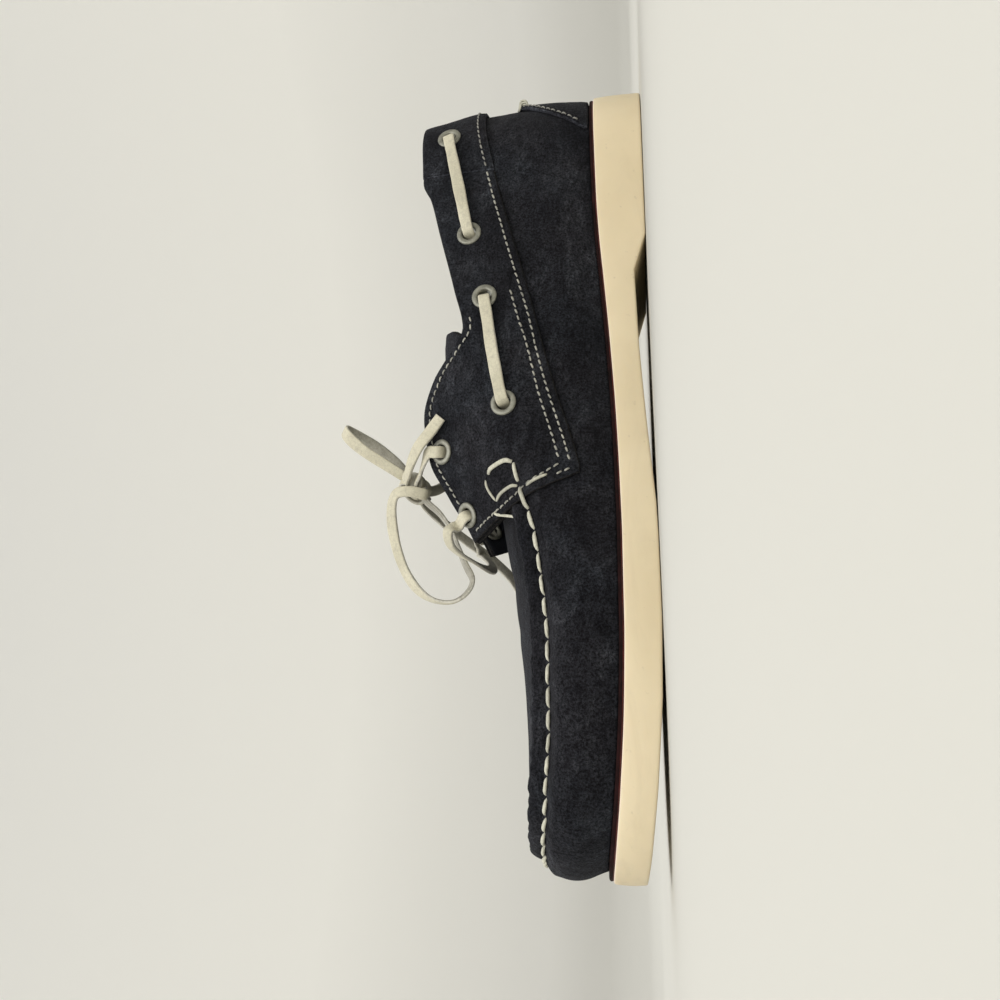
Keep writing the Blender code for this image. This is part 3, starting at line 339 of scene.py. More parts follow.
# ---- meshes ----
def piece(name, points, faces, materials, kinds=None, angle=None):
    """A smooth object. Points in millimetres; kinds gives each face's material by number."""
    mesh = bpy.data.meshes.new(name)
    mesh.from_pydata(metres(points).tolist(), [], [list(map(int, f)) for f in faces])
    for m in materials:
        mesh.materials.append(m)
    if kinds is not None:
        mesh.polygons.foreach_set("material_index", np.asarray(kinds, np.int32))
    mesh.shade_smooth()
    if angle:
        mesh.set_sharp_from_angle(angle=math.radians(angle))
    mesh.update()
    made = bpy.data.objects.new(name, mesh)
    bpy.context.scene.collection.objects.link(made)
    return made


def settle(made, node):
    """The piece is part of the shoe's one body, and stands in for a CAD node if it has one."""
    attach(made, "root")
    if node:
        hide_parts(node)
    return made


def solid(name, node, slot, *shape, angle=None):
    """A closed piece with all its faces turned outwards; shape is as for piece."""
    made = piece(name, *shape, angle=angle)
    bm = bmesh.new()
    bm.from_mesh(made.data)
    bmesh.ops.recalc_face_normals(bm, faces=bm.faces)
    bm.to_mesh(made.data)
    bm.free()
    return settle(made, node)


def quads(rows, columns, first=0, close_rows=False, close_columns=False):
    """The faces of a grid of points, joined end to start where a way is closed."""
    i, j = np.meshgrid(
        np.arange(rows if close_rows else rows - 1),
        np.arange(columns if close_columns else columns - 1), indexing="ij",
    )
    n, k = (i + 1) % rows, (j + 1) % columns
    f = np.stack([i * columns + j, n * columns + j, n * columns + k, i * columns + k], -1)
    return (f.reshape(-1, 4) + first).tolist()


def tube_faces(rings, around, first=0):
    """The faces of a tube, with one more at each end."""
    end = first + (rings - 1) * around
    ends = [list(range(first, first + around)), list(range(end, end + around))[::-1]]
    return quads(rings, around, first, close_columns=True) + ends


def bridge(lines):
    """The faces between neighbouring lines of point numbers; a line of one number is a tip."""
    faces = []
    for a, b in zip(lines, lines[1:]):
        if len(a) == 1:
            new = [[a[0], b[c + 1], b[c]] for c in range(len(b) - 1)]
        elif len(b) == 1:
            new = [[a[c], a[c + 1], b[0]] for c in range(len(a) - 1)]
        else:
            new = [[a[c], a[c + 1], b[c + 1], b[c]] for c in range(len(a) - 1)]
        faces += new
    return faces


def lines_across(points, count, deep, level, between):
    """Lines of point numbers over a closed ring of count columns, each deep points long.
    between(i, m, l) gives the points that line i adds between its ends m and l."""
    lines = []
    for i in range(count // 2 + 1):
        m, l = i * deep + level, (count - i) % count * deep + level
        new = [] if m == l else between(i, points[m], points[l])
        ends = [l] if m != l else []
        lines.append([m, *range(len(points), len(points) + len(new)), *ends])
        points += list(new)
    return lines


def one_way(faces):
    """The same faces, wound so that neighbours agree."""
    by_edge = {}
    for n, face in enumerate(faces):
        for a, b in zip(face, face[1:] + face[:1]):
            by_edge.setdefault((min(a, b), max(a, b)), []).append(n)
    result = [list(f) for f in faces]
    done = bytearray(len(faces))
    for start in range(len(faces)):
        if done[start]:
            continue
        done[start] = 1
        todo = [start]
        while todo:
            face = result[todo.pop()]
            for a, b in zip(face, face[1:] + face[:1]):
                for other in by_edge[(min(a, b), max(a, b))]:
                    if not done[other]:
                        theirs = result[other]
                        if (a, b) in zip(theirs, theirs[1:] + theirs[:1]):
                            result[other] = theirs[::-1]
                        done[other] = 1
                        todo.append(other)
    return result


def suede_shell(name, node, outer, inner, faces, materials, bulge, hole=0.0):
    """A closed sheet with a rounded cut edge, left open within hole of each eyelet's middle.
    Its outside, inside and edge have a material each."""
    centre = np.array([outer[f].mean(axis=0) for f in faces])
    faces = one_way([f for f, gone in zip(faces, near_eyelet(centre, hole)) if not gone])
    n = len(outer)
    ways = [way for face in faces for way in zip(face, face[1:] + face[:1])]
    near = {}
    for a, b in ways:
        near.setdefault(a, set()).add(b)
        near.setdefault(b, set()).add(a)
    known = set(ways)
    rim = [(a, b) for a, b in ways if (b, a) not in known]
    on_rim = {v for e in rim for v in e}
    middle, extra = {}, []
    for v in sorted(on_rim):
        inner_ones = [u for u in near[v] if u not in on_rim] or list(near[v])
        way = unit(outer[v] - outer[inner_ones].mean(axis=0))
        middle[v] = 2 * n + len(extra)
        extra.append((outer[v] + inner[v]) / 2 + way * bulge)
    points = np.concatenate([outer, inner, np.array(extra)])
    made = [list(f) for f in faces] + [[n + i for i in reversed(f)] for f in faces]
    kinds = [0] * len(faces) + [1] * len(faces)
    for a, b in rim:
        made += [[b, a, middle[a], middle[b]], [middle[b], middle[a], n + a, n + b]]
        kinds += [2, 2]
    return settle(piece(name, points, made, materials, kinds), node)


# ---- materials ----
class Nodes:
    """A small helper for shader graphs."""

    def __init__(self, name):
        self.material = bpy.data.materials.new(name)
        self.material.use_nodes = True
        self.tree = self.material.node_tree
        self.shader = self.tree.nodes["Principled BSDF"]
        self.where = self.add("ShaderNodeTexCoord").outputs["Object"]

    def add(self, kind, **values):
        node = self.tree.nodes.new(kind)
        for key, value in values.items():
            if hasattr(node, key):
                setattr(node, key, value)
            else:
                node.inputs[key.replace("_", " ")].default_value = value
        return node

    def link(self, a, b):
        self.tree.links.new(a, b)

    def feed(self, socket, value):
        """Set a socket to a number or a colour, or link another socket to it."""
        if isinstance(value, tuple):
            socket.default_value = (*value, 1)
        elif isinstance(value, (int, float)):
            socket.default_value = value
        else:
            self.link(value, socket)

    def stretched(self, scale, turn=(0, 0, 0)):
        node = self.add("ShaderNodeMapping", Scale=scale, Rotation=turn)
        self.link(self.where, node.inputs["Vector"])
        return node.outputs["Vector"]

    def noise(self, scale, detail=3.0, rough=0.5, vector=None, distortion=0.0):
        node = self.add("ShaderNodeTexNoise", Scale=scale, Detail=detail, Roughness=rough,
                        Distortion=distortion)
        self.link(vector or self.where, node.inputs["Vector"])
        return node.outputs["Fac"]

    def voronoi(self, scale, feature="F1"):
        node = self.add("ShaderNodeTexVoronoi", feature=feature, Scale=scale)
        self.link(self.where, node.inputs["Vector"])
        return node.outputs["Distance"]

    def ramp(self, value, stops):
        stops = list(stops)
        node = self.add("ShaderNodeValToRGB")
        ramp = node.color_ramp
        while len(ramp.elements) < len(stops):
            ramp.elements.new(0.5)
        for element, (at, colour) in zip(ramp.elements, stops):
            element.position = at
            element.color = (*colour, 1)
        self.link(value, node.inputs["Fac"])
        return node.outputs["Color"]

    def range(self, value, a, b, c=0.0, d=1.0):
        node = self.add("ShaderNodeMapRange", From_Min=a, From_Max=b, To_Min=c, To_Max=d)
        self.link(value, node.inputs["Value"])
        return node.outputs["Result"]

    def math(self, operation, a, b):
        node = self.add("ShaderNodeMath", operation=operation)
        for socket, value in zip(node.inputs, (a, b)):
            self.feed(socket, value)
        return node.outputs["Value"]

    def mix(self, share, a, b, blend="MIX"):
        node = self.add("ShaderNodeMix", data_type="RGBA", blend_type=blend)
        for number, value in ((0, share), (6, a), (7, b)):
            self.feed(node.inputs[number], value)
        return node.outputs[2]

    def bump(self, *layers):
        """layers: height socket, strength, distance in metres."""
        last = None
        for height, strength, distance in layers:
            node = self.add("ShaderNodeBump", Strength=strength, Distance=distance)
            self.link(height, node.inputs["Height"])
            if last:
                self.link(last, node.inputs["Normal"])
            last = node.outputs["Normal"]
        self.link(last, self.shader.inputs["Normal"])

    def finish(self, colour, roughness, **fixed):
        self.feed(self.shader.inputs["Base Color"], colour)
        self.feed(self.shader.inputs["Roughness"], roughness)
        for key, value in fixed.items():
            self.shader.inputs[key.replace("_", " ")].default_value = value
        return self.material


def mottled(name, noise, low, high, rough, bump=None, stops=(0.3, 0.7), **fixed):
    """Two colours in a cloud, raised with it if bump gives a strength and a distance."""
    n = Nodes(name)
    cloud = n.noise(*noise)
    if bump:
        n.bump((cloud, *bump))
    return n.finish(n.ramp(cloud, zip(stops, (low, high))), rough, **fixed)


def suede(name, lift=1.0):
    """Near-black napped suede: smoky patches where the nap lies the other way, short
    brushed strokes, and a fine pile."""
    n = Nodes(name)
    patches = n.noise(105, 6, 0.68, n.stretched((1.0, 0.48, 1.0), (0.12, 0, 0)), 0.8)
    broad = n.noise(26, 3, 0.55, n.stretched((1.0, 0.6, 1.0)))
    strokes = n.noise(480, 5, 0.72, n.stretched((1.0, 0.55, 1.0), (0.2, 0, 0)), 0.4)
    pile = n.noise(1300, 3, 0.75)
    tint = n.noise(45, 3, 0.5)
    tone = n.math("ADD", n.math("MULTIPLY", patches, 0.42), n.math("MULTIPLY", strokes, 0.34))
    tone = n.math("ADD", tone, n.math("MULTIPLY", broad, 0.24))
    navy = [
        (0.38, (0.0050, 0.0050, 0.0062)), (0.47, (0.0100, 0.0100, 0.0122)),
        (0.54, (0.0160, 0.0163, 0.0194)), (0.64, (0.0345, 0.0350, 0.0410)),
    ]
    colour = n.ramp(tone, [(at, tuple(lift * c for c in dark)) for at, dark in navy])
    colour = n.mix(n.range(pile, 0.36, 0.64), n.mix(1.0, colour, (0.28, 0.28, 0.28), "MULTIPLY"),
                   n.mix(1.0, colour, (1.95, 1.95, 1.92), "MULTIPLY"))
    colour = n.mix(n.range(tint, 0.42, 0.66), colour,
                   n.mix(1.0, colour, (0.96, 1.03, 1.06), "MULTIPLY"))
    n.bump((patches, 0.30, 0.0010), (strokes, 0.55, 0.0007), (pile, 0.85, 0.00040))
    return n.finish(
        colour, 0.97, Specular_IOR_Level=0.06, Sheen_Weight=0.035, Sheen_Roughness=0.5,
        Sheen_Tint=(0.9, 0.9, 1.0, 1.0),
    )


def grain_inside():
    n = Nodes("inner_leather")
    grain = n.voronoi(900)
    cloud = n.noise(40, 4, 0.6)
    colour = n.ramp(cloud, [(0.3, (0.018, 0.019, 0.026)), (0.7, (0.034, 0.036, 0.046))])
    n.bump((grain, 0.25, 0.0003))
    return n.finish(colour, 0.62, Specular_IOR_Level=0.35)


def sole_rubber():
    """Cream rubber sidewall, a touch uneven, with faint grey smears and small nicks."""
    n = Nodes("cream_rubber_side")
    cloud = n.noise(22, 4, 0.6)
    smear = n.noise(34, 6, 0.65, n.stretched((1.0, 0.35, 1.6)), 1.2)
    speck = n.noise(420, 2, 0.5)
    colour = n.ramp(cloud, [(0.3, (0.665, 0.560, 0.375)), (0.7, (0.735, 0.630, 0.440))])
    colour = n.mix(n.range(smear, 0.54, 0.76, 0.0, 0.38), colour, (0.54, 0.45, 0.31))
    colour = n.mix(n.range(speck, 0.69, 0.78, 0.0, 0.35), colour, (0.42, 0.34, 0.24))
    n.bump((cloud, 0.12, 0.001), (speck, 0.12, 0.0001))
    return n.finish(
        colour, n.range(smear, 0.3, 0.8, 0.50, 0.66), Specular_IOR_Level=0.35,
        Subsurface_Weight=0.08, Subsurface_Radius=(0.004, 0.0025, 0.0012), Subsurface_Scale=0.5,
    )


def tread_rubber():
    """The walked-on underside: tan, greyer where it has rubbed, and darker in its cuts."""
    n = Nodes("cream_rubber_tread")
    cloud = n.noise(16, 5, 0.62)
    rub = n.noise(60, 6, 0.7, n.stretched((1.0, 0.3, 1.0)), 1.5)
    speck = n.noise(600, 3, 0.6)
    colour = n.ramp(cloud, [(0.3, (0.56, 0.45, 0.27)), (0.7, (0.70, 0.575, 0.36))])
    colour = n.mix(n.range(rub, 0.5, 0.75, 0.0, 0.5), colour, (0.42, 0.33, 0.20))
    colour = n.mix(n.range(speck, 0.62, 0.75, 0.0, 0.5), colour, (0.20, 0.15, 0.10))
    n.bump((rub, 0.25, 0.0003), (speck, 0.2, 0.0001))
    return n.finish(colour, 0.72, Specular_IOR_Level=0.3)


def rawhide(name, low, high, grime, fibre):
    """Flat off-white lace leather: rubbed grey streaks, a fine crackle, and on the fleshy side
    a coarser fibre."""
    n = Nodes(name)
    cloud = n.noise(70, 4, 0.6)
    streak = n.noise(420, 4, 0.7, distortion=0.8)
    pulled = n.noise(1500, 3, 0.7, n.stretched((1.0, 0.35, 0.6), (0.4, 0.0, 0.0)))
    crack = n.voronoi(700, "DISTANCE_TO_EDGE")
    colour = n.ramp(cloud, [(0.3, low), (0.7, high)])
    colour = n.mix(n.range(streak, 0.5, 0.72, 0.0, 0.6), colour, grime)
    colour = n.mix(n.range(crack, 0.0, 0.06, 0.35, 0.0), colour, tuple(0.6 * c for c in low))
    colour = n.mix(n.range(pulled, 0.40, 0.66, 0.0, fibre), colour, tuple(0.72 * c for c in grime))
    n.bump((streak, 0.35, 0.0003), (crack, 0.25, 0.0002), (pulled, 0.3 + fibre, 0.00025))
    return n.finish(colour, 0.72, Specular_IOR_Level=0.25)


def thread(name, low, high):
    """Waxed thread: its ply, and grime that has greyed parts of the row."""
    n = Nodes(name)
    ply = n.noise(1400, 2, 0.5, n.stretched((1.0, 0.5, 1.0)))
    grime = n.noise(70, 3, 0.6)
    colour = n.ramp(ply, [(0.3, low), (0.7, high)])
    colour = n.mix(n.range(grime, 0.48, 0.70, 0.0, 0.55), colour, tuple(0.45 * c for c in low))
    n.bump((ply, 0.6, 0.0002))
    return n.finish(colour, 0.8, Sheen_Weight=0.1)


def eyelet_metal():
    n = Nodes("eyelet_satin_metal")
    wear = n.noise(500, 4, 0.6)
    colour = n.ramp(wear, [(0.3, (0.17, 0.168, 0.140)), (0.7, (0.32, 0.315, 0.265))])
    n.bump((wear, 0.08, 0.0002))
    return n.finish(colour, n.range(wear, 0.3, 0.7, 0.42, 0.6), Metallic=0.6)


def footbed():
    n = Nodes("footbed_leather")
    grain = n.voronoi(800)
    cloud = n.noise(25, 5, 0.6)
    worn = n.noise(9, 3, 0.5)
    colour = n.ramp(cloud, [(0.3, (0.30, 0.205, 0.12)), (0.7, (0.40, 0.285, 0.175))])
    colour = n.mix(n.range(worn, 0.45, 0.7, 0.0, 0.45), colour, (0.20, 0.135, 0.085))
    n.bump((grain, 0.2, 0.0003))
    return n.finish(colour, 0.6, Specular_IOR_Level=0.35)


SUEDE, FOLD, INSIDE = suede("navy_suede"), suede("navy_suede_fold", 2.4), grain_inside()
CUT = mottled(
    "suede_cut_edge", (900, 3, 0.7), (0.006, 0.0055, 0.0055), (0.030, 0.028, 0.028), 0.95,
    (0.6, 0.0003), (0.35, 0.7), Specular_IOR_Level=0.1,
)
SIDE, TREAD = sole_rubber(), tread_rubber()
# the cuts of the underside, in a darker brown than the tread
CUT_DARK = mottled("tread_cut_darker", (300, 3, 0.6), (0.07, 0.05, 0.03), (0.20, 0.145, 0.09), 0.85)
# painted highlight: the sidewall's upper edge in a paler, pinkish cream next to the red line
PAINTED_LIP_HIGHLIGHT = mottled(
    "cream_rubber_painted_highlight", (60, 4, 0.6), (0.80, 0.63, 0.50), (0.88, 0.75, 0.62), 0.55,
    Specular_IOR_Level=0.35,
)
RED = mottled(
    "red_rubber_line", (160, 4, 0.6), (0.032, 0.0034, 0.0036), (0.105, 0.0080, 0.0085), 0.6,
    (0.2, 0.0002), (0.35, 0.65),
)
# painted shade: a near-black rubber colour on the red line's upper faces, standing in for the
# shadow in the channel between the red line and the suede
PAINTED_CHANNEL_SHADE = mottled(
    "painted_shade_rubber_gap", (200, 3, 0.6), (0.006, 0.003, 0.003), (0.022, 0.007, 0.007), 0.9,
    Specular_IOR_Level=0.1,
)
# lace: its ground, its rubbed high tone, the grime on it, and how much fibre shows
LACE = rawhide("lace_smooth", (0.50, 0.47, 0.36), (0.64, 0.605, 0.475), (0.36, 0.335, 0.275), 0.10)
# the fleshy face: darker than the smooth one, partly its own duller colour and partly painted shade
# for the laces' shaded undersides and far strands
FLESH_AND_SHADE = rawhide("lace_fleshy_and_painted_shade", (0.33, 0.315, 0.265), (0.45, 0.43, 0.36), (0.22, 0.21, 0.18), 0.45)
RAW = rawhide("lace_raw_edge", (0.50, 0.48, 0.41), (0.68, 0.66, 0.58), (0.34, 0.32, 0.28), 0.35)
METAL, FOOTBED = eyelet_metal(), footbed()
FINE_THREAD = thread("fine_thread", (0.25, 0.245, 0.215), (0.47, 0.46, 0.40))
# a darker grey thread, for the rows at the heel tab and at the heel patch
DIM_THREAD = thread("dim_thread", (0.13, 0.127, 0.118), (0.34, 0.33, 0.295))
THICK_THREAD = thread("hand_thread", (0.42, 0.41, 0.33), (0.63, 0.615, 0.51))


# ---- relief of the upper ----
def wobble(k, side, z, scale, seed):
    """Smooth seeded unevenness, mostly between -1 and 1, by a few crossed waves."""
    k, side, z = arrays(k, side, z)
    made = np.random.default_rng(seed)
    total = np.zeros(len(k))
    for _ in range(7):
        a, b = made.normal(size=2)
        phase = made.uniform(0, 6.28) + side * made.uniform(0, 3)
        total += np.sin((a * k + b * z) / scale * 2.4 + phase)
    return total / 3.6


# Main creases: side (0 both), station and height of both ends, half width, depth: a
# trough, with a softer ridge on each side of it.
CREASES = [
    (0, 196.0, 33.0, 207.0, 19.0, 3.4, 0.38),
    (0, 209.0, 32.0, 218.0, 20.0, 3.2, 0.28),
    (MEDIAL, 60.0, 22.0, 84.0, 44.0, 6.0, 0.28),
    (MEDIAL, 92.0, 19.0, 112.0, 34.0, 5.0, 0.22),
    (LATERAL, 64.0, 22.0, 86.0, 42.0, 6.0, 0.3),
    (0, 34.0, 24.0, 52.0, 46.0, 5.5, 0.25),
]


def gathers(k):
    """The small puckers at the raised seam, one to a hand stitch: a wave between -1 and 1."""
    return np.sin((k - 172.5) / 6.9 * 2 * np.pi)


def relief(k, side, z):
    """How far the suede stands out from its even form."""
    k, side, z = arrays(k, side, z)
    out = 0.17 * wobble(k, side, z, 26.0, 3) + 0.10 * wobble(k, side, z, 9.0, 5)
    out += 0.05 * wobble(k, side, z, 3.2, 8)
    for which, k0, z0, k1, z1, wide, deep in CREASES:
        dk, dz = k1 - k0, z1 - z0
        t = ((k - k0) * dk + (z - z0) * dz) / (dk * dk + dz * dz)
        far = np.abs((k - k0) * dz - (z - z0) * dk) / math.hypot(dk, dz)
        ends = smoothstep(-0.25, 0.25, t) * (1 - smoothstep(0.75, 1.25, t))
        shape = -np.exp(-((far / wide) ** 2)) + 0.55 * np.exp(-(((far - 1.9 * wide) / wide) ** 2))
        here = 1.0 if which == 0 else (side == which)
        out += deep * shape * ends * here
    # held flat at the sole, and gathered in small puckers under the raised seam
    out *= smoothstep(0, 7, z - feather(k, side))
    under = seam_height(k) - z
    gather = np.exp(-((under - 2.2) / 2.6) ** 2) * smoothstep(190, 235, k)
    return out + 0.14 * gather * gathers(k)


def dressed(k, side, climb, out=0.0, share=1.0):
    """Points on the wall with a share of its relief."""
    here, z = climbed(k, side, climb)
    return skin(here, side, z, relief(here, side, z) * share + out)


def near_eyelet(points, radius):
    hit = np.zeros(len(points), bool)
    for number in range(len(EYELETS)):
        for side in (MEDIAL, LATERAL):
            hit |= np.linalg.norm(points - eyelet_frame(number, side)[0], axis=1) < radius
    return hit


def level_to(normal, way):
    """The part of a way that is square to the normal, one long."""
    return unit(way - normal * (way @ normal))


def eyelet_frame(number, side):
    """An eyelet's middle on the skin, its normal, and its way towards the toe."""
    k, z = EYELETS[number]
    centre = skin(k, side, z)[0]
    ring = np.array(ring_points(number, side, EYELET_OUTER, 0.0))
    normal = np.linalg.svd(ring - ring.mean(axis=0))[2][2]
    normal *= math.copysign(1.0, normal @ skin_normal(k, side, z)[0])
    return centre, normal, level_to(normal, skin(k + 1, side, z)[0] - skin(k - 1, side, z)[0])


def ring_points(number, side, radius, out):
    """A circle round an eyelet's middle, drawn on the wall."""
    k, z = EYELETS[number]
    per_k = np.linalg.norm(skin(k + 1, side, z) - skin(k - 1, side, z)) / 2
    per_z = np.linalg.norm(skin(k, side, z + 1) - skin(k, side, z - 1)) / 2
    a = np.linspace(0, 2 * np.pi, 16, endpoint=False)
    return skin(k + radius * np.cos(a) / per_k, side, z + radius * np.sin(a) / per_z, out)


def cover(number):
    """The thickness of the layer that an eyelet goes through."""
    return TAB if EYELETS[number][0] < TAB_END else BAND


def seat(number, side):
    """How high over the skin an eyelet's flange lies, clear of the layer's bulge."""
    centre, normal, _ = eyelet_frame(number, side)
    radii = (0.0, 2.0, 3.5, EYELET_OUTER)
    rings = [ring_points(number, side, r, OVER_GAP + cover(number)) for r in radii]
    return float(((np.concatenate(rings) - centre) @ normal).max()) + GAP


# ---- the upper ----
REAR = np.concatenate([
    np.linspace(HEEL_CENTRE, HEEL_END, 40), np.arange(35.3, FLAP_FOOT - 0.4, 1.3), [FLAP_FOOT]
])
VAMP = np.concatenate([
    np.arange(FLAP_FOOT + VAMP_STEP, TOE_START - 0.6, 1.3), np.linspace(TOE_START, TOE_CENTRE, 62)
])
WALL_ROWS, FLAP_ROWS, ACROSS = 34, 26, 44
INSIDE_SHARE = 0.6  # how much of the suede's relief its inside follows
# The raised seam from its foot over the crest: share of height, share of thickness inwards
RIDGE = [
    (0.16, -0.10), (0.36, -0.13), (0.58, -0.08), (0.78, 0.02), (0.92, 0.16), (1.0, 0.36),
    (1.0, 0.62), (0.93, 0.86), (0.80, 1.02), (0.64, 1.10),
]
CREST = 0.9  # the share of height over which the stitches draw its top into scallops


def inward(here, side):
    """Level way from the wall to the shoe's middle, for each point."""
    way = -skin_normal(here, side, feather(here, side) + 6)
    way[:, 2] = 0
    return unit(way)


def vamp_columns(ks, side, out, ridge):
    """(columns, rows, 3) points: the wall, then the raised seam or the smooth inside."""
    kk, cc = np.meshgrid(ks, np.linspace(0, 1, WALL_ROWS), indexing="ij")
    wall = dressed(kk.ravel(), side, cc.ravel(), out, 1.0 if ridge else INSIDE_SHARE)
    rows = [wall.reshape(len(ks), WALL_ROWS, 3)]
    foot = rows[0][:, -1]
    here = ks + lean(ks, 1.0)
    way, grown = inward(here, side), risen(here)
    up = np.array([0.0, 0.0, 1.0])
    if ridge:
        uneven = 1 + 0.035 * np.sin(here * 0.47) + 0.02 * np.sin(here * 1.3 + side)
        tall = ridge_height(grown) * uneven
        for high, deep in RIDGE:
            rise = tall * high
            if (high, deep) == RIDGE[-1]:
                rise = np.minimum(rise, (SEAM_STEP_IN + 0.5) * grown + 0.1)
            if high > CREST:
                rise = rise + 0.07 * grown * gathers(here)
            reach = deep * SEAM_THICK + tall * SEAM_LEAN * high
            rows.append((foot + way * reach[:, None] + up * rise[:, None])[:, None])
    else:
        rise = SEAM_STEP_IN * 0.8 * grown - WALL * 0.3
        reach = SEAM_THICK + 0.4 + WALL * 0.3
        for share in np.linspace(1 / len(RIDGE), 1, len(RIDGE)):
            rows.append((foot + way * reach * share + up * (rise * share)[:, None])[:, None])
    return np.concatenate(rows, axis=1)


def upper_sheet(out, ridge):
    """Points and faces of the rear, of the vamp with its seam, and of the apron."""
    climb = np.concatenate([np.linspace(0, 1, WALL_ROWS), np.linspace(1, 2, FLAP_ROWS)[1:]])
    ks, sides = round_the_heel(REAR)
    kk, cc = np.meshgrid(ks, climb, indexing="ij")
    share = 1.0 if ridge else INSIDE_SHARE
    rear = dressed(kk.ravel(), np.repeat(sides, len(climb)), cc.ravel(), out, share)
    inner = vamp_columns(VAMP, MEDIAL, out, ridge)
    outer = vamp_columns(VAMP[:-1], LATERAL, out, ridge)
    columns = np.concatenate([inner, outer[::-1]])
    count, tall = columns.shape[:2]
    first = len(rear)
    faces = quads(len(ks), len(climb)) + quads(count, tall, first)
    for a, b in ((first - len(climb), first + (count - 1) * tall), (first, 0)):
        faces += [[a + j, b + j, b + j + 1, a + j + 1] for j in range(WALL_ROWS - 1)]
    # the apron, between the inner edges of the raised seam
    t = np.arange(1, ACROSS) / ACROSS
    p = inner[:-1, -1, None] * (1 - t)[:, None] + outer[:, -1, None] * t[:, None]
    x, s = p[..., 0], p[..., 1]
    crown = table(APRON_CROWN, 1, s.ravel()).reshape(s.shape) + min(out, 0)
    p[..., 2] += np.maximum(0, crown - p[..., 2]) * (1 - np.abs(2 * t - 1) ** APRON_ROUND)
    if ridge:
        soft = 0.30 * np.sin(s / 15.0 + 0.06 * x) * np.sin(x / 13.0 + 1.0)
        soft += 0.14 * np.sin(s / 5.3 - 0.11 * x) * np.sin(x / 6.1 + s / 17.0)
        for at, slope, deep, wide in ((201.0, 0.10, 0.45, 4.0), (215.0, -0.16, 0.35, 3.4)):
            bend = at + slope * x + 0.012 * (x + 3.0) ** 2
            soft -= deep * np.exp(-(((s - bend) / wide) ** 2))
        p[..., 2] += soft * (1 - np.abs(2 * t - 1) ** 3)
    start = first + count * tall
    rows = []
    for i in range(len(VAMP) - 1):
        m, l = first + (i + 1) * tall - 1, first + (count - i) * tall - 1
        rows.append([m, *range(start + i * len(t), start + (i + 1) * len(t)), l])
    rows.append([first + len(VAMP) * tall - 1])
    faces += bridge(rows)
    return np.concatenate([rear, columns.reshape(-1, 3), p.reshape(-1, 3)]), faces


def upper():
    outer, faces = upper_sheet(0.0, True)
    inner, _ = upper_sheet(-WALL, False)
    materials = [SUEDE, INSIDE, CUT]
    suede_shell("suede_upper", "upper", outer, inner, faces, materials, bulge=0.3, hole=3.5)


def edge_climb(edge, ks, sides):
    """The climbs of a layer's edge, from a table of heights or from one climb."""
    if isinstance(edge, float):
        return np.full(len(ks), edge)
    return climb_to(ks, sides, edge)


def layer(name, node, ks, sides, low, high, thick, rows, rim):
    """A layer of suede laid on the upper, with rounded cut edges."""
    deep = np.linspace(0, 1, rows)
    low, high = edge_climb(low, ks, sides), edge_climb(high, ks, sides)
    climb = (low[:, None] * (1 - deep) + high[:, None] * deep).ravel()
    k_all, s_all = np.repeat(ks, rows), np.repeat(sides, rows)
    from_edge = np.tile(np.minimum(deep, 1 - deep), len(ks)) * rows
    sunk = 0.30 * np.exp(-((from_edge / 1.2) ** 2))
    outer = dressed(k_all, s_all, climb, OVER_GAP + thick - sunk)
    inner = dressed(k_all, s_all, climb, OVER_GAP - 0.1)
    faces, materials = quads(len(ks), rows), [SUEDE, SUEDE, rim]
    suede_shell(name, node, outer, inner, faces, materials, bulge=0.35, hole=3.9)


def layers():
    ks = np.array([TAB_END + 0.4, *REAR[REAR > TAB_END + 1.2]])
    for side in (MEDIAL, LATERAL):
        name, node = (start + side_name(side) for start in ("suede_band_", "collar_band_"))
        layer(name, node, ks, np.full(len(ks), float(side)), BAND_EDGE, 2.0, BAND, 44, CUT)
    around = round_the_heel(np.array([*REAR[REAR < TAB_END - 0.8], TAB_END]))
    layer("suede_heel_tab", "heel_tab", *around, BAND_EDGE, 2.0, TAB, 24, FOLD)
    around = round_the_heel(np.array([*REAR[REAR < PATCH_END - 0.8], PATCH_END]))
    layer("suede_heel_patch", "heel_patch", *around, 0.02, PATCH_EDGE, TAB, 22, FOLD)


def tongue():
    s = np.linspace(TONGUE_ROWS[0, 0], TONGUE_ROWS[-1, 0], 74)
    s[:8] = s[0] + (s[7] - s[0]) * np.linspace(0, 1, 8) ** 1.5
    m, l, edge, crown = (np.interp(s, TONGUE_ROWS[:, 0], c)[:, None] for c in TONGUE_ROWS.T[1:])
    s = s[:, None]
    middle = place(s.ravel(), LATERAL, 0, 0)[:, :1]
    t = np.linspace(-1, 1, 41)
    sheets = []
    for drop in (0.0, TONGUE):
        x = middle + t * np.where(t < 0, m, l) - drop * 0.3 * t
        z = edge + (crown - edge) * (1 - np.abs(t) ** TONGUE_ROUND) - drop
        wave = 0.25 * np.sin(s / 7.0 + t * 2) * np.sin(t * 5 + 1)
        sheets.append(np.stack([x, np.broadcast_to(s, x.shape), z + wave], -1).reshape(-1, 3))
    faces, materials = quads(len(s), len(t)), [SUEDE, INSIDE, CUT]
    suede_shell("suede_tongue", "tongue", *sheets, faces, materials, bulge=0.3)


# ---- sole ----
CUT_PITCH, CUT_HALF, CUT_DEEP, CUT_WAVE = 5.5, 0.27, 1.0, 1.5
CUT_ROWS = np.concatenate([np.arange(16.0, 64.0, CUT_PITCH), np.arange(150.0, 268.0, CUT_PITCH)])
INNER_EDGE, INNER_STRIPS = 12.0, 64


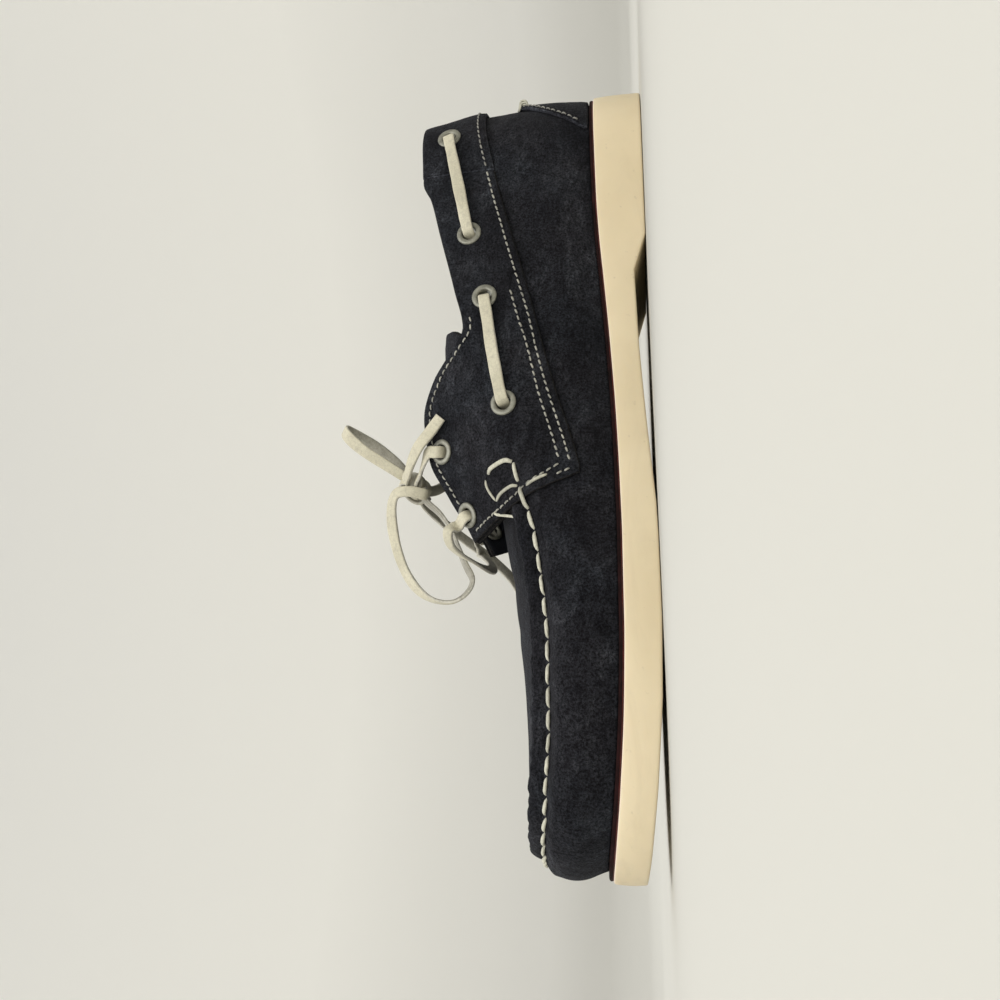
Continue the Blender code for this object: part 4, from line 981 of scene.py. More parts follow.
def sole_stations():
    """Stations close enough for the cuts, none nearer than 0.12 mm to the one before."""
    ks = [np.linspace(HEEL_CENTRE, 13.0, 18), np.arange(66.0, 148.0, 1.4)]
    ks += [[75.4, 76.0, 76.6, 89.4, 90.0, 90.6], np.linspace(269.0, TOE_CENTRE, 58)]
    for k in CUT_ROWS:
        ks.append(k + np.array([-CUT_HALF, 0.0, CUT_HALF, 1.3, 2.75, 4.2]))
    ks = np.unique(np.round(np.concatenate(ks), 3))
    return ks[np.concatenate([[True], np.diff(ks) > 0.12])]


def border_groove(d, s):
    """Depth of the moulded grooves on the underside, d in from the sole's edge."""
    ball = smoothstep(140, 165, s)
    toe = smoothstep(262, 276, s)
    heel = 1 - smoothstep(62, 74, s)
    waist = smoothstep(92, 100, s) * (1 - smoothstep(138, 150, s))
    line = np.exp(-(((d - 7.6) / (1.1 + 1.0 * toe)) ** 4))
    deep = (0.7 * ball + 0.9 * toe + 0.7 * heel) * line
    deep += waist * (1.1 * smoothstep(6.5, 9.5, d) - 0.7 * np.exp(-(((d - 17.0) / 2.6) ** 2)))
    return deep


def outsole():
    ks = sole_stations()
    kk, ss = round_the_shoe(ks)
    edge = edge_of_sole(kk, ss)
    s = place(kk, ss, edge, 0)[:, 1]
    top, under = sole_top(s), sole_under(s)
    third = (top - under) / 3
    # how far in from the edge, how high, and the kind of face that runs to the next row:
    # 0 side, 1 tread, 2 darker colour in a cut, 3 painted highlight at the lip
    levels = [
        (9.0, top - 0.1, 0), (2.0, top - 0.05, 0), (0.9, top, 3), (0.45, top - 0.07, 3),
        (0.14, top - 0.27, 0), (0.0, top - 0.7, 0), (-0.12, top - third * 0.5, 0),
        (-0.2, top - third, 0), (-0.2, top - third * 1.5, 0), (-0.15, top - third * 2, 0),
        (0.0, under + 1.8, 0), (0.03, under + 0.9, 0), (0.13, under + 0.42, 0),
        (0.34, under + 0.14, 1), (0.68, under + 0.03, 1), (2.0, under, 1),
    ]
    rows = [place(kk, ss, edge - d, z) for d, z, _ in levels]
    for d in (3.2, 4.6, 5.6, 6.1, 6.6, 7.1, 7.6, 8.1, 8.6, 9.2, 9.8, 10.8, INNER_EDGE):
        p = place(kk, ss, edge - d, 0)
        p[:, 2] = sole_under(p[:, 1]) + border_groove(d, p[:, 1])
        rows.append(p)
    count, deep = len(kk), len(rows)
    points = list(np.stack(rows, axis=1).reshape(-1, 3))
    faces = quads(count, deep, close_rows=True)
    kinds = ([kind for _, _, kind in levels] + [1] * (deep - 1 - len(levels))) * count

    # across the underside, in rows that carry the zigzag cuts
    cut = [np.abs(CUT_ROWS - k).min() for k in ks]
    t = np.arange(1, INNER_STRIPS) / INNER_STRIPS
    wave = np.array([0, 1, 0, -1])[np.arange(1, INNER_STRIPS) % 4]
    from_end = np.minimum(t, 1 - t)

    def underside(i, m, l):
        p = m * (1 - t[:, None]) + l * t[:, None]
        p[:, 1] += CUT_WAVE * wave * smoothstep(0, 0.10, from_end) * smoothstep(3.2, 0.4, cut[i])
        d = INNER_EDGE + from_end * np.linalg.norm(m - l)
        p[:, 2] = sole_under(p[:, 1]) + border_groove(d, p[:, 1])
        if cut[i] < 0.01:
            p[:, 2] += CUT_DEEP * smoothstep(0.05, 0.14, from_end)
        return p

    lines = lines_across(points, count, deep, deep - 1, underside)
    made = np.random.default_rng(11)
    for i, pair in enumerate(zip(lines, lines[1:])):
        new = bridge(pair)
        faces += new
        in_cut = min(cut[i : i + 2]) < 0.01 and max(cut[i : i + 2]) < 0.4
        # most strips inside a cut take the darker cut colour
        for c in range(len(new)):
            darker_strip = in_cut and 6 < c < INNER_STRIPS - 7 and made.random() < 0.8
            kinds.append(2 if darker_strip else 1)
    # the top is closed by plain strips; the upper stands over it
    lid = bridge(lines_across(points, count, deep, 0, lambda i, m, l: []))
    # kind 3 is the painted highlight along the lip
    materials = [SIDE, TREAD, CUT_DARK, PAINTED_LIP_HIGHLIGHT]
    kinds += [0] * len(lid)
    solid("rubber_outsole", "outsole", "cream_rubber", points, faces + lid, materials, kinds)


def ring_plate(name, node, slot, levels, materials, crown=0.0, strips=24, turn=22, step=2.0):
    """A closed plate on the sole's stations: levels(k, side) gives its edge, top to bottom."""
    kk, ss = round_the_shoe(np.concatenate([
        np.linspace(HEEL_CENTRE, HEEL_END, turn), np.arange(HEEL_END + step, TOE_START - 1, step),
        np.linspace(TOE_START, TOE_CENTRE, int(turn * 1.5)),
    ]))
    rows = levels(kk, ss)
    count, deep = len(kk), len(rows)
    points = list(np.stack(rows, axis=1).reshape(-1, 3))
    faces = quads(count, deep, close_rows=True)
    t = np.arange(1, strips)[:, None] / strips
    for level, sag in ((0, crown), (deep - 1, 0.0)):
        down = (1 - np.abs(2 * t - 1) ** 3) * (0, 0, -sag)
        faces += bridge(lines_across(
            points, count, deep, level, lambda i, m, l: m * (1 - t) + l * t + down
        ))
    return solid(name, node, slot, points, faces, materials)


RED_HEIGHT = 0.6  # of the line's own red; above it the faces carry the painted channel shade


def thin_layers():
    def line(k, side):
        r = edge_of_sole(k, side) - RAND_INSET
        low = sole_top(place(k, side, r, 0)[:, 1])
        shape = [(3.0, 1.62), (0.9, 1.60), (0.35, 1.50), (0.05, 1.20), (0.0, 0.85), (0.05, 0.45),
                 (0.3, 0.12), (1.5, 0.02)]
        return [place(k, side, r - d, low + z) for d, z in shape]

    materials = [RED, PAINTED_CHANNEL_SHADE]
    made = ring_plate("red_line", "rand", "red_line", line, materials, strips=4, turn=40, step=1.6)
    # faces above RED_HEIGHT take the painted shade of the channel, the rest take the red
    for face in made.data.polygons:
        height = face.center.z / MM - sole_top(face.center.y / MM + LENGTH / 2)[0]
        face.material_index = int(height > RED_HEIGHT)

    def bed(k, side):
        zs, rs = knots(k, side)
        r = rs[:, 0] - WALL - INSOLE_GAP
        shape = [(1.6, INSOLE - 0.2), (0.4, INSOLE), (-0.2, INSOLE - 0.05), (-0.5, INSOLE - 0.4),
                 (-0.2, 1.2), (0.0, 0.0)]
        return [place(k, side, r - d, zs[:, 0] + z) for d, z in shape]

    ring_plate("footbed", "insole", "lining_leather", bed, [FOOTBED], crown=0.5)


# ---- eyelets ----
def eyelet(number, side):
    """Flange with a rolled rim outside, barrel through the suede, washer inside."""
    centre, normal, _ = eyelet_frame(number, side)
    low = seat(number, side) - 0.25
    high, bore, wide = seat(number, side) + EYELET_FLANGE, EYELET_HOLE, EYELET_OUTER
    back = -WALL - 0.35
    profile = [
        (bore, back + 0.3), (bore + 0.25, back - 0.35), (bore + 0.8, back - 0.55),
        (bore + 1.5, back - 0.35), (bore + 1.7, back), (bore + 0.45, back + 0.1),
        (bore + 0.4, low), (wide - 0.5, low - 0.1), (wide - 0.1, low + 0.05), (wide, low + 0.3),
        (wide - 0.12, high - 0.3), (wide - 0.5, high - 0.08), (wide - 0.95, high - 0.02),
        (bore + 1.0, high), (bore + 0.6, high - 0.04), (bore + 0.25, high - 0.22),
        (bore + 0.04, high - 0.55), (bore, high - 1.1),
    ]
    first = unit(np.cross(normal, (0.0, 0.0, 1.0)))
    second = np.cross(normal, first)
    turns = np.linspace(0, 2 * np.pi, 40, endpoint=False)
    points = []
    for turn in turns:
        out = first * math.cos(turn) + second * math.sin(turn)
        points += [centre + out * r + normal * h for r, h in profile]
    faces = quads(len(turns), len(profile), close_rows=True, close_columns=True)
    which = f"{side_name(side)}_{number + 1}"
    solid(f"eyelet_ring_{which}", f"eyelet_{which}", "eyelet_metal", points, faces, [METAL])


# ---- laces ----
def through(points, step):
    """Even steps along a smooth curve through the given rows; the first three columns are
    the place, and the rest go along with it."""
    points = np.array(points, float)
    padded = np.vstack([2 * points[0] - points[1], points, 2 * points[-1] - points[-2]])
    t = np.linspace(0, 1, 16, endpoint=False)[:, None]
    fine = []
    for a, b, c, d in zip(padded, padded[1:], padded[2:], padded[3:]):
        square, cube = 2 * a - 5 * b + 4 * c - d, 3 * b - a - 3 * c + d
        fine.append(0.5 * (2 * b + (c - a) * t + square * t * t + cube * t**3))
    fine = np.vstack([*fine, points[-1:]])
    run = run_along(fine[:, :3])
    even = np.linspace(0, run[-1], max(3, int(run[-1] / step) + 1))
    return np.stack([np.interp(even, run, column) for column in fine.T], axis=1)


LACE_ROUND = np.linspace(0, 2 * np.pi, 20, endpoint=False)
LACE_SECTION = np.stack([
    np.sign(np.cos(LACE_ROUND)) * np.abs(np.cos(LACE_ROUND)) ** 0.42,
    np.sign(np.sin(LACE_ROUND)) * np.abs(np.sin(LACE_ROUND)) ** 0.62,
], axis=1)


def strip(line, ups, seed, width=LACE_WIDTH, thick=LACE_THICK):
    """A flat lace with soft edges: its points, faces and kinds, and the line it follows."""
    step = 0.7
    rows = through(np.hstack([np.array(line, float), np.array(ups, float)]), step)
    path, up = rows[:, :3], rows[:, 3:]
    ahead = unit(np.gradient(path, axis=0))
    across = unit(np.cross(ahead, up))
    flat = np.cross(across, ahead)
    run = np.arange(len(path)) * step
    a, b, c = np.random.default_rng(seed).uniform(0, 6, 3)
    wide = width / 2 * (1 + 0.035 * np.sin(run / 5.1 + a) + 0.02 * np.sin(run / 1.9 + b))
    tall = thick / 2 * (1 + 0.06 * np.sin(run / 3.3 + c))
    roll = 0.10 * np.sin(run / 7.0 + b)[:, None]
    turned = across * np.cos(roll) + flat * np.sin(roll)
    lifted = np.cross(turned, ahead)
    side, top = LACE_SECTION.T
    points = (
        path[:, None]
        + turned[:, None] * (wide[:, None] * side)[..., None]
        + lifted[:, None] * (tall[:, None] * (top - 0.10 * (1 - side**2)))[..., None]
    )
    # the smooth face, the fleshy face (darker, partly as painted shade) and the raw edges
    n, m = points.shape[:2]
    middle = LACE_ROUND + np.pi / m
    kinds = np.where(np.sin(middle) > 0, 0, 1)
    kinds[np.abs(np.cos(middle)) > 0.93] = 2
    return points.reshape(-1, 3), tube_faces(n, m), [*np.tile(kinds, n - 1), 2, 2], path


def lace_piece(name, node, strips):
    points, faces, kinds = [], [], []
    for more, its_faces, its_kinds, _ in strips:
        faces += [[v + len(points) for v in face] for face in its_faces]
        kinds += its_kinds
        points += list(more)
    return solid(name, node, "rawhide", points, faces, [LACE, FLESH_AND_SHADE, RAW], kinds, angle=60)


def lace_height(number, side):
    """The middle of a lace that lies on an eyelet's flange, over the skin."""
    return seat(number, side) + EYELET_FLANGE + LACE_LIFT + LACE_THICK / 2


def out_of_eyelet(number, side, way, deep, over=None):
    """A lace's way up out of an eyelet, from deep under the wall, and off over its rim: its
    points, and the way that its flat side faces at each. over is how far it then rises."""
    centre, normal, _ = eyelet_frame(number, side)
    h = lace_height(number, side)
    rise = [(-WALL - deep, 0.0), (0.2, 0.0), (h - 1.5, 0.1), (h - 0.45, 0.65), (h, 1.9)]
    ups = [-way, -way, -way, normal - way, normal]
    if over is not None:
        rise.append((h + over, 5.0))
        ups.append(normal)
    return [centre + normal * up + way * run for up, run in rise], ups


def lace_bar(back, front, side):
    """A lace along the collar, out of one eyelet and into the next."""
    ends = []
    for number, other in ((back, front), (front, back)):
        centre, normal, _ = eyelet_frame(number, side)
        way = level_to(normal, eyelet_frame(other, side)[0] - centre)
        ends.append(out_of_eyelet(number, side, way, 1.6))
    (path, ups), (last, last_ups) = ends
    (k0, z0), (k1, z1) = EYELETS[back], EYELETS[front]
    h0, h1 = lace_height(back, side), lace_height(front, side)
    for t in np.arange(1, 8) / 8:
        k, z = k0 + (k1 - k0) * t, z0 + (z1 - z0) * t
        path.append(skin(k, side, z, h0 + (h1 - h0) * t)[0])
        ups.append(skin_normal(k, side, z)[0])
    which = f"{side_name(side)}_{'rear' if back == 0 else 'front'}"
    made = strip(path + last[::-1], ups + last_ups[::-1], seed=back + 20)
    lace_piece(f"lace_strap_{which}", f"lace_bar_{which}", [made])


def lace_rise(side):
    """From an upper flap eyelet to the knot."""
    _, normal, ahead = eyelet_frame(4, side)
    up = np.cross(ahead, normal)
    path, ups = out_of_eyelet(4, side, up * math.copysign(1.0, up[2]), 0.2, 0.3)
    foot_x = place(EYELETS[4][0], side, 0, 0)[0, 0]
    path += [
        (foot_x + side * 15.2, 156.8, 84.4),
        (foot_x + side * 11.6, 159.2, 86.4),
        (KNOT[0] + side * (KNOT_SIZE[0] + 1.2), KNOT[1], KNOT[2] - 2.5),
        (KNOT[0] + side * (KNOT_SIZE[0] - 3.0), KNOT[1], KNOT[2] - 1.5),
    ]
    ups += [(side * a, -0.1, 1.0) for a in (0.6, 0.2, 0.0, 0.0)]
    which = side_name(side)
    lace_piece(f"lace_lift_{which}", f"lace_rise_{which}", [strip(path, ups, seed=31 + side)])


# the slack front bar, from the inner flap's tip to the outer one's: x, distance from the heel,
# height, and the way that its flat side faces
CROSS = [
    (-20.6, 182.6, 73.0, -0.7, 0.3, 0.6), (-17.0, 187.0, 73.0, -0.4, 0.7, 0.6),
    (-12.4, 189.8, 70.4, -0.2, 0.8, 0.6), (-7.0, 191.6, 66.9, -0.1, 0.85, 0.6),
    (0.0, 193.2, 63.6, 0.0, 0.8, 0.6), (7.0, 192.6, 62.4, 0.1, 0.8, 0.6),
    (13.5, 190.0, 63.6, 0.2, 0.8, 0.6), (18.8, 186.4, 66.8, 0.4, 0.7, 0.6),
    (22.0, 183.2, 70.2, 0.7, 0.3, 0.6),
]


def lace_cross():
    """The front bar: out of the front flap eyelets, round the flaps' tips and across."""
    half = {}
    for side in (MEDIAL, LATERAL):
        _, normal, ahead = eyelet_frame(5, side)
        way = level_to(normal, 0.75 * ahead + np.array([0, 0, 0.8]))
        half[side] = np.hstack(out_of_eyelet(5, side, way, 0.2, 0.2))
    rows = np.vstack([half[MEDIAL], CROSS, half[LATERAL][::-1]])
    lace_piece("lace_front_bar", "lace_cross", [strip(rows[:, :3], rows[:, 3:], seed=41)])


def lace_knot():
    """Two wraps round the crossing ends, with one drawn over them."""
    strips = []
    for x, tilt, size, seed in ((-3.3, 0.30, 1.0, 51), (2.9, -0.22, 0.98, 52)):
        turn = np.linspace(0, 2 * np.pi, 15)
        ring = np.stack([
            KNOT[0] + x + tilt * 4.0 * np.sin(turn),
            KNOT[1] + (KNOT_SIZE[1] - 0.9) * size * np.cos(turn),
            KNOT[2] + (KNOT_SIZE[2] - 0.7) * size * np.sin(turn),
        ], axis=1)
        out = np.stack([0 * turn, np.cos(turn), np.sin(turn)], axis=1)
        strips.append(strip(ring, out, width=4.9, thick=1.7, seed=seed))
    line = [(-8.4, 160.0, 91.4), (-7.4, 159.4, 94.4), (-4.0, 160.0, 96.2), (0.2, 161.6, 96.2),
            (3.4, 163.8, 94.4), (4.6, 165.4, 91.2), (3.6, 164.6, 87.4)]
    ups = [(-1.0, -0.4, 0.3), (-0.7, -0.4, 0.8), (-0.1, -0.2, 1), (0.2, 0.2, 1), (0.6, 0.6, 0.8),
           (0.6, 0.9, 0), (0.4, 0.8, -0.5)]
    strips.append(strip(line, ups, width=4.6, seed=53))
    core = [(KNOT[0] + x, KNOT[1], KNOT[2]) for x in np.linspace(-6.2, 6.2, 7)]
    strips.append(strip(core, [(0, 0, 1)] * len(core), width=6.2, thick=4.6, seed=54))
    return lace_piece("lace_knot_wraps", "lace_knot", strips)


# each free length from the knot: x, distance from the heel, height and the way that its flat
# side faces; what is on its far end
BOW = {
    "lace_loop_up": ([
        (-5.2, 159.2, 92.6, -0.75, 0.45, 0.45),
        (-8.2, 157.4, 95.2, -0.85, 0.35, 0.2), (-11.3, 153.8, 101.2, -0.9, 0.25, 0.0),
        (-14.0, 148.8, 109.0, -0.9, 0.2, 0.0), (-14.4, 143.2, 115.2, -0.8, 0.0, 0.5),
        (-11.8, 139.6, 117.6, 0.1, -0.55, 0.82), (-8.0, 139.9, 115.4, 0.75, -0.5, 0.1),
        (-5.0, 143.6, 108.6, 0.85, -0.3, -0.2), (-3.4, 149.2, 101.4, 0.85, -0.3, -0.2),
        (-3.0, 154.2, 96.6, 0.85, -0.35, -0.2), (-2.6, 157.6, 93.6, 0.75, -0.45, -0.45)], "object"),
    "lace_loop_down": ([
        (-5.0, 163.4, 87.6, -0.9, 0.5, -0.3),
        (-8.0, 165.6, 85.2, -0.9, 0.5, -0.3), (-9.8, 165.0, 88.8, -1.0, 0.3, 0.0),
        (-9.9, 164.6, 93.2, -1.0, 0.1, 0.2), (-8.8, 165.2, 96.8, -0.9, 0.0, 0.6),
        (-7.0, 168.2, 98.8, -1.0, 0.0, 0.55), (-5.2, 173.6, 99.4, -1.0, 0.1, 0.45),
        (-3.8, 180.6, 98.6, -1.0, 0.1, 0.35), (-3.2, 188.4, 96.4, -1.0, 0.15, 0.35),
        (-3.0, 195.6, 93.0, -0.9, 0.3, 0.4), (-3.0, 201.6, 88.2, -0.6, 0.65, 0.4),
        (-3.5, 205.4, 81.8, -0.1, 1.0, 0.1), (-4.0, 206.0, 74.8, 0.2, 1.0, -0.15),
        (-4.5, 203.0, 69.6, 0.4, 0.8, -0.6), (-4.6, 198.2, 67.4, 0.4, 0.1, -1.0),
        (-3.6, 192.6, 70.2, 0.4, -0.3, -1.0), (-2.4, 186.4, 73.2, 0.4, -0.5, -0.9),
        (-1.4, 179.0, 76.4, 0.4, -0.7, -0.8), (-0.9, 172.0, 81.2, 0.4, -0.8, -0.6),
        (-0.7, 167.0, 86.6, 0.4, -0.9, -0.4), (-1.2, 163.4, 88.8, 0.4, -0.9, -0.4)], "object"),
    "lace_end_up": ([
        (-5.4, 161.0, 92.4, -0.6, 0.2, 0.8),
        (-9.4, 160.4, 93.2, -0.6, 0.2, 0.8), (-12.8, 158.4, 91.2, -0.7, 0.1, 0.7),
        (-17.4, 155.4, 88.6, -0.8, 0.1, 0.4), (-22.2, 151.2, 84.6, -0.9, 0.1, 0.15),
        (-24.9, 146.6, 79.6, -1.0, 0.1, 0.05), (-26.4, 141.8, 75.4, -1.0, 0.1, 0.05)], "bare"),
    "lace_end_down": ([
        (1.5, 161.2, 91.2, 0.2, 0.2, 1.0),
        (6.0, 162.2, 91.8, 0.2, 0.2, 1.0), (13.0, 164.0, 92.4, 0.3, 0.2, 1.0),
        (20.5, 168.4, 88.0, 0.5, 0.2, 1.0), (27.0, 176.4, 78.0, 0.7, 0.2, 0.8),
        (31.5, 184.6, 67.0, 0.8, 0.2, 0.7), (34.5, 193.0, 58.5, 0.8, 0.2, 0.6),
        (38.0, 202.0, 54.0, 0.9, 0.2, 0.5), (43.0, 211.0, 50.5, 0.9, 0.2, 0.5)], "bare"),
}


def bow():
    """The free lengths of lace that leave the knot."""
    knot = lace_knot()
    for seed, (name, (rows, far_end)) in enumerate(BOW.items()):
        rows = np.array(rows)
        made = strip(rows[:, :3], rows[:, 3:], seed=60 + seed)
        obj = lace_piece(name + "_strip", name, [made])


# ---- stitches ----
BAND_TOP, TAB_TOP = OVER_GAP + BAND, OVER_GAP + TAB
FINE, DIM_ROWS, HAND = [], [], []  # each stitch: its points, radii, the way it faces
THREAD_FLAT = 0.72  # a thread's height, as a share of its width
# machine stitches: from one to the next, length, radius, how deep the ends and how proud
PITCH, STITCH, FINE_RADIUS, SUNK, PROUD = 2.75, 2.0, 0.33, 0.45, 0.30
# the two rows on the flap: how far over the band's edge, and where they turn up its front
FIRST_ROW, SECOND_ROW = 2.6, 6.0
FIRST_TURN, SECOND_TURN = 161.4, 158.4


def machine_row(ks, climbs, side, out, into):
    """Even stitches along a line on a layer; each dips into it at both ends."""
    points = dressed(ks, side, climbs, out)
    normals = unit(dressed(ks, side, climbs, out + 1.0) - points)
    run = run_along(points)
    made = np.random.default_rng(int(run[-1] * 10) % 9973)
    share = np.array([0.0, 0.14, 0.35, 0.65, 0.86, 1.0])
    lift = np.array([-SUNK, 0.5 * PROUD, PROUD, PROUD, 0.5 * PROUD, -SUNK])[:, None]
    for n in range(int(run[-1] / PITCH)):
        start = (n + 0.5) * PITCH - STITCH / 2 + made.normal(0, 0.03 * PITCH)
        at = start + share * STITCH
        if at[0] < 0 or at[-1] > run[-1]:
            continue
        p, up = (np.stack([np.interp(at, run, c) for c in v.T], axis=1) for v in (points, normals))
        slant = unit(np.cross(up[2], p[-1] - p[0])) * STITCH * made.normal(0.14, 0.06)
        size = FINE_RADIUS * made.uniform(0.88, 1.08) * np.array([0.5, 0.9, 1, 1, 0.9, 0.5])
        into.append((p + up * lift + (share - 0.5)[:, None] * slant, size, up[2]))


def sewn(name, stitches, material, around):
    """All the stitches of one thread, as round-ended tubes, a little flattened."""
    points, faces = [], []
    turn = np.linspace(0, 2 * np.pi, around, endpoint=False)[:, None]
    for path, radius, normal in stitches:
        ahead = unit(np.gradient(path, axis=0))
        across = unit(np.cross(ahead, normal))
        flat = unit(np.cross(across, ahead)) * THREAD_FLAT
        ring = across[:, None] * np.cos(turn) + flat[:, None] * np.sin(turn)
        faces += tube_faces(len(path), around, len(points))
        points += list((path[:, None] + ring * radius[:, None, None]).reshape(-1, 3))
    solid(name, None, "rawhide", points, faces, [material])


def machine_rows():
    for side in (MEDIAL, LATERAL):
        # along the lower edge of tab and band, with a second row from mid-shoe
        ks = np.linspace(HEEL_CENTRE + 0.5, TAB_END - 0.6, 90)
        machine_row(ks, climb_to(ks, side, BAND_EDGE, FIRST_ROW), side, TAB_TOP, DIM_ROWS)
        rows = (FIRST_ROW, TAB_END + 0.8, FIRST_TURN), (SECOND_ROW, 97.0, SECOND_TURN)
        for off, start, end in rows:
            ks = np.linspace(start, end, 260)
            machine_row(ks, climb_to(ks, side, BAND_EDGE, off), side, BAND_TOP, FINE)
        # up the flap's front edge
        low = climb_to(FIRST_TURN, side, BAND_EDGE, FIRST_ROW)[0]
        high = climb_to(SECOND_TURN, side, BAND_EDGE, SECOND_ROW)[0]
        machine_row(FIRST_TURN + 0.3, np.linspace(low, 0.66, 20), side, BAND_TOP, FINE)
        climbs = np.linspace(high, 1.90, 150)
        ks = np.interp(climbs, [high, 0.85, 1.05, 1.3, 1.9], [158.5, 160.2, 161.8, 162.2, 161.8])
        machine_row(ks, climbs, side, BAND_TOP, FINE)
        # along the flap's top edge
        ks = np.linspace(106.0, 160.8, 170)
        here = ks + lean(ks, 2.0)
        climbs = 2 - 3.0 / (top_height(here) - seam_height(here))
        machine_row(ks, climbs, side, BAND_TOP, FINE)
        # at the edge of the heel patch
        ks = np.linspace(HEEL_CENTRE + 0.3, PATCH_END - 1.2, 90)
        climbs = np.maximum(climb_to(ks, side, PATCH_EDGE, -1.3), 0.03)
        machine_row(ks, climbs, side, TAB_TOP, DIM_ROWS)


def long_stitch(points, up, radius):
    """One stitch through the given points, its ends sunk into the suede."""
    rows = through(points, 0.9)
    share = np.linspace(0, 1, len(rows))
    from_end = np.minimum(share, 1 - share)
    dip = 0.5 * np.maximum(0, 1 - from_end * len(rows) / 1.6)
    size = radius * (0.72 + 0.28 * smoothstep(0, 0.2, from_end))
    HAND.append((rows - up * dip[:, None], size, up))


def seam_foot(k, side, down=0.0, out=0.0):
    """Points at the raised seam's foot, or down and out from it."""
    z = seam_height(k) - down
    return skin(k, side, z, out + relief(k, side, z))


# The box sewn over the saddle and the threads beside it: stations and climbs on the band, radius
BOX = [
    ([(152.3, 1.400), (155.1, 1.400), (159.4, 1.352)], 0.46),
    ([(151.4, 1.338), (150.5, 1.285), (150.3, 1.125), (151.5, 1.045)], 0.84),
    ([(152.1, 1.028), (155.0, 1.016), (158.3, 0.996)], 0.68),
    ([(159.5, 1.340), (158.6, 1.236), (158.5, 1.092), (159.5, 1.012)], 0.62),
    ([(160.5, 0.692), (160.5, 0.760), (160.8, 0.836), (161.1, 0.904)], 0.54),
]


# station along the raised seam, and the length of one stitch there
MOC_PITCH = np.array([
    (180, 7.4), (200, 7.1), (240, 6.9), (270, 6.5), (300, 5.8), (324, 5.4),
])
MOC_START, MOC_RADIUS = 180.0, 0.82


def moc_stitches(side):
    """Round both faces of the raised seam, from the flap's edge to the middle of the toe."""
    k = np.arange(171.5, TOE_CENTRE, 0.25)
    run = run_along(seam_foot(k, side, risen(k), 0.55))
    at = np.interp(MOC_START, k, run)
    made = np.random.default_rng(70 + side)
    t = np.linspace(-1, 1, 9)
    while at < run[-1] - 1.2:
        s = np.interp(at, run, k)
        pitch = np.interp(s, *MOC_PITCH.T) * made.uniform(0.95, 1.05)
        ks = np.linspace(*np.interp((at + 0.2, at + pitch - 0.4), run, k), len(t))
        grown = risen(ks)
        # the middle hangs lowest; both ends go into the groove under the ridge
        down = grown + 0.22 * (1 - t**2) + made.normal(0, 0.10) + made.normal(-0.08, 0.14) * t
        bulge = 0.74 - np.abs(t) ** 3.5 + made.normal(0, 0.05)
        normal = skin_normal(s, side, seam_height(s) - 1.0)[0]
        size = MOC_RADIUS * made.uniform(0.92, 1.06) * (1 - 0.58 * np.abs(t) ** 2.6)
        HAND.append((seam_foot(ks, side, down, bulge), size, normal))
        # its other leg, on the plug's side of the seam
        tall = ridge_height(grown)
        reach = SEAM_THICK * 1.10 + tall * SEAM_LEAN * 0.7
        back = seam_foot(ks, side) + inward(ks, side) * reach[:, None]
        back[:, 2] += np.minimum(tall * 0.8, SEAM_STEP_IN * grown + 0.7) - 0.35 * np.abs(t) ** 3
        HAND.append((back, size, np.array([0, 0, 1.0])))
        at += pitch


def tack(side):
    """A lump of thread wound over the heel patch's edge: turns side by side, set on others."""
    k, threads, wide, high = 6.4, 8, 3.4, 2.0
    edge = table(PATCH_EDGE, 1, k)[0] + 0.2
    made = np.random.default_rng(int(edge * 10) + side)
    t = np.linspace(-1, 1, 9)
    for n in range(threads):
        x = (n / (threads - 1) - 0.5) * wide
        ks = k + x + t * made.uniform(-0.9, 0.9)
        z = edge - 0.6 * high - 0.3 * x + high * t
        out = OVER_GAP + TAB * smoothstep(-0.4, 0.6, edge - 0.3 * x - z)
        out += (0.7 + 0.75 * (n % 3)) * (1 - t**4) - 0.1
        size = 0.52 * (1 - 0.4 * np.abs(t) ** 3)
        HAND.append((skin(ks, side, z, out), size, skin_normal(k, side, edge)[0]))


def hand_stitches():
    for side in (MEDIAL, LATERAL):
        moc_stitches(side)
        for points, radius in BOX:
            ks, climbs = np.array(points).T
            p = dressed(ks, side, climbs, BAND_TOP + radius * 0.5)
            long_stitch(p, skin_normal(ks.mean() + 8, side, p[:, 2].mean())[0], radius)
        # over the flap's front edge: to the seam's foot, and to the top of the ridge
        first = np.vstack([
            dressed([160.5, 162.2, 163.8], side, [0.984, 0.976, 0.966], BAND_TOP + 0.45),
            seam_foot([177.9, 179.5], side, [0.8, 1.0], [1.0, 0.35]),
        ])
        long_stitch(first, skin_normal(174, side, 43)[0], 0.76)
        tail = np.vstack([
            dressed([161.8, 163.2], side, [1.425, 1.405], BAND_TOP + 0.35),
            seam_foot([181.2, 183.2], side, [-4.6, -4.1], [-1.0, -1.4]),
        ])
        long_stitch(tail, skin_normal(180, side, 48)[0], 0.50)
        tack(side)


# ---- build ----
upper()
layers()
tongue()
outsole()
thin_layers()
for side in (MEDIAL, LATERAL):
    for number in range(len(EYELETS)):
        eyelet(number, side)
    lace_bar(0, 1, side)
    lace_bar(2, 3, side)
    lace_rise(side)
lace_cross()
bow()
machine_rows()
hand_stitches()
sewn("machine_stitches", FINE, FINE_THREAD, 6)
sewn("heel_stitches", DIM_ROWS, DIM_THREAD, 6)
sewn("hand_stitches", HAND, THICK_THREAD, 10)


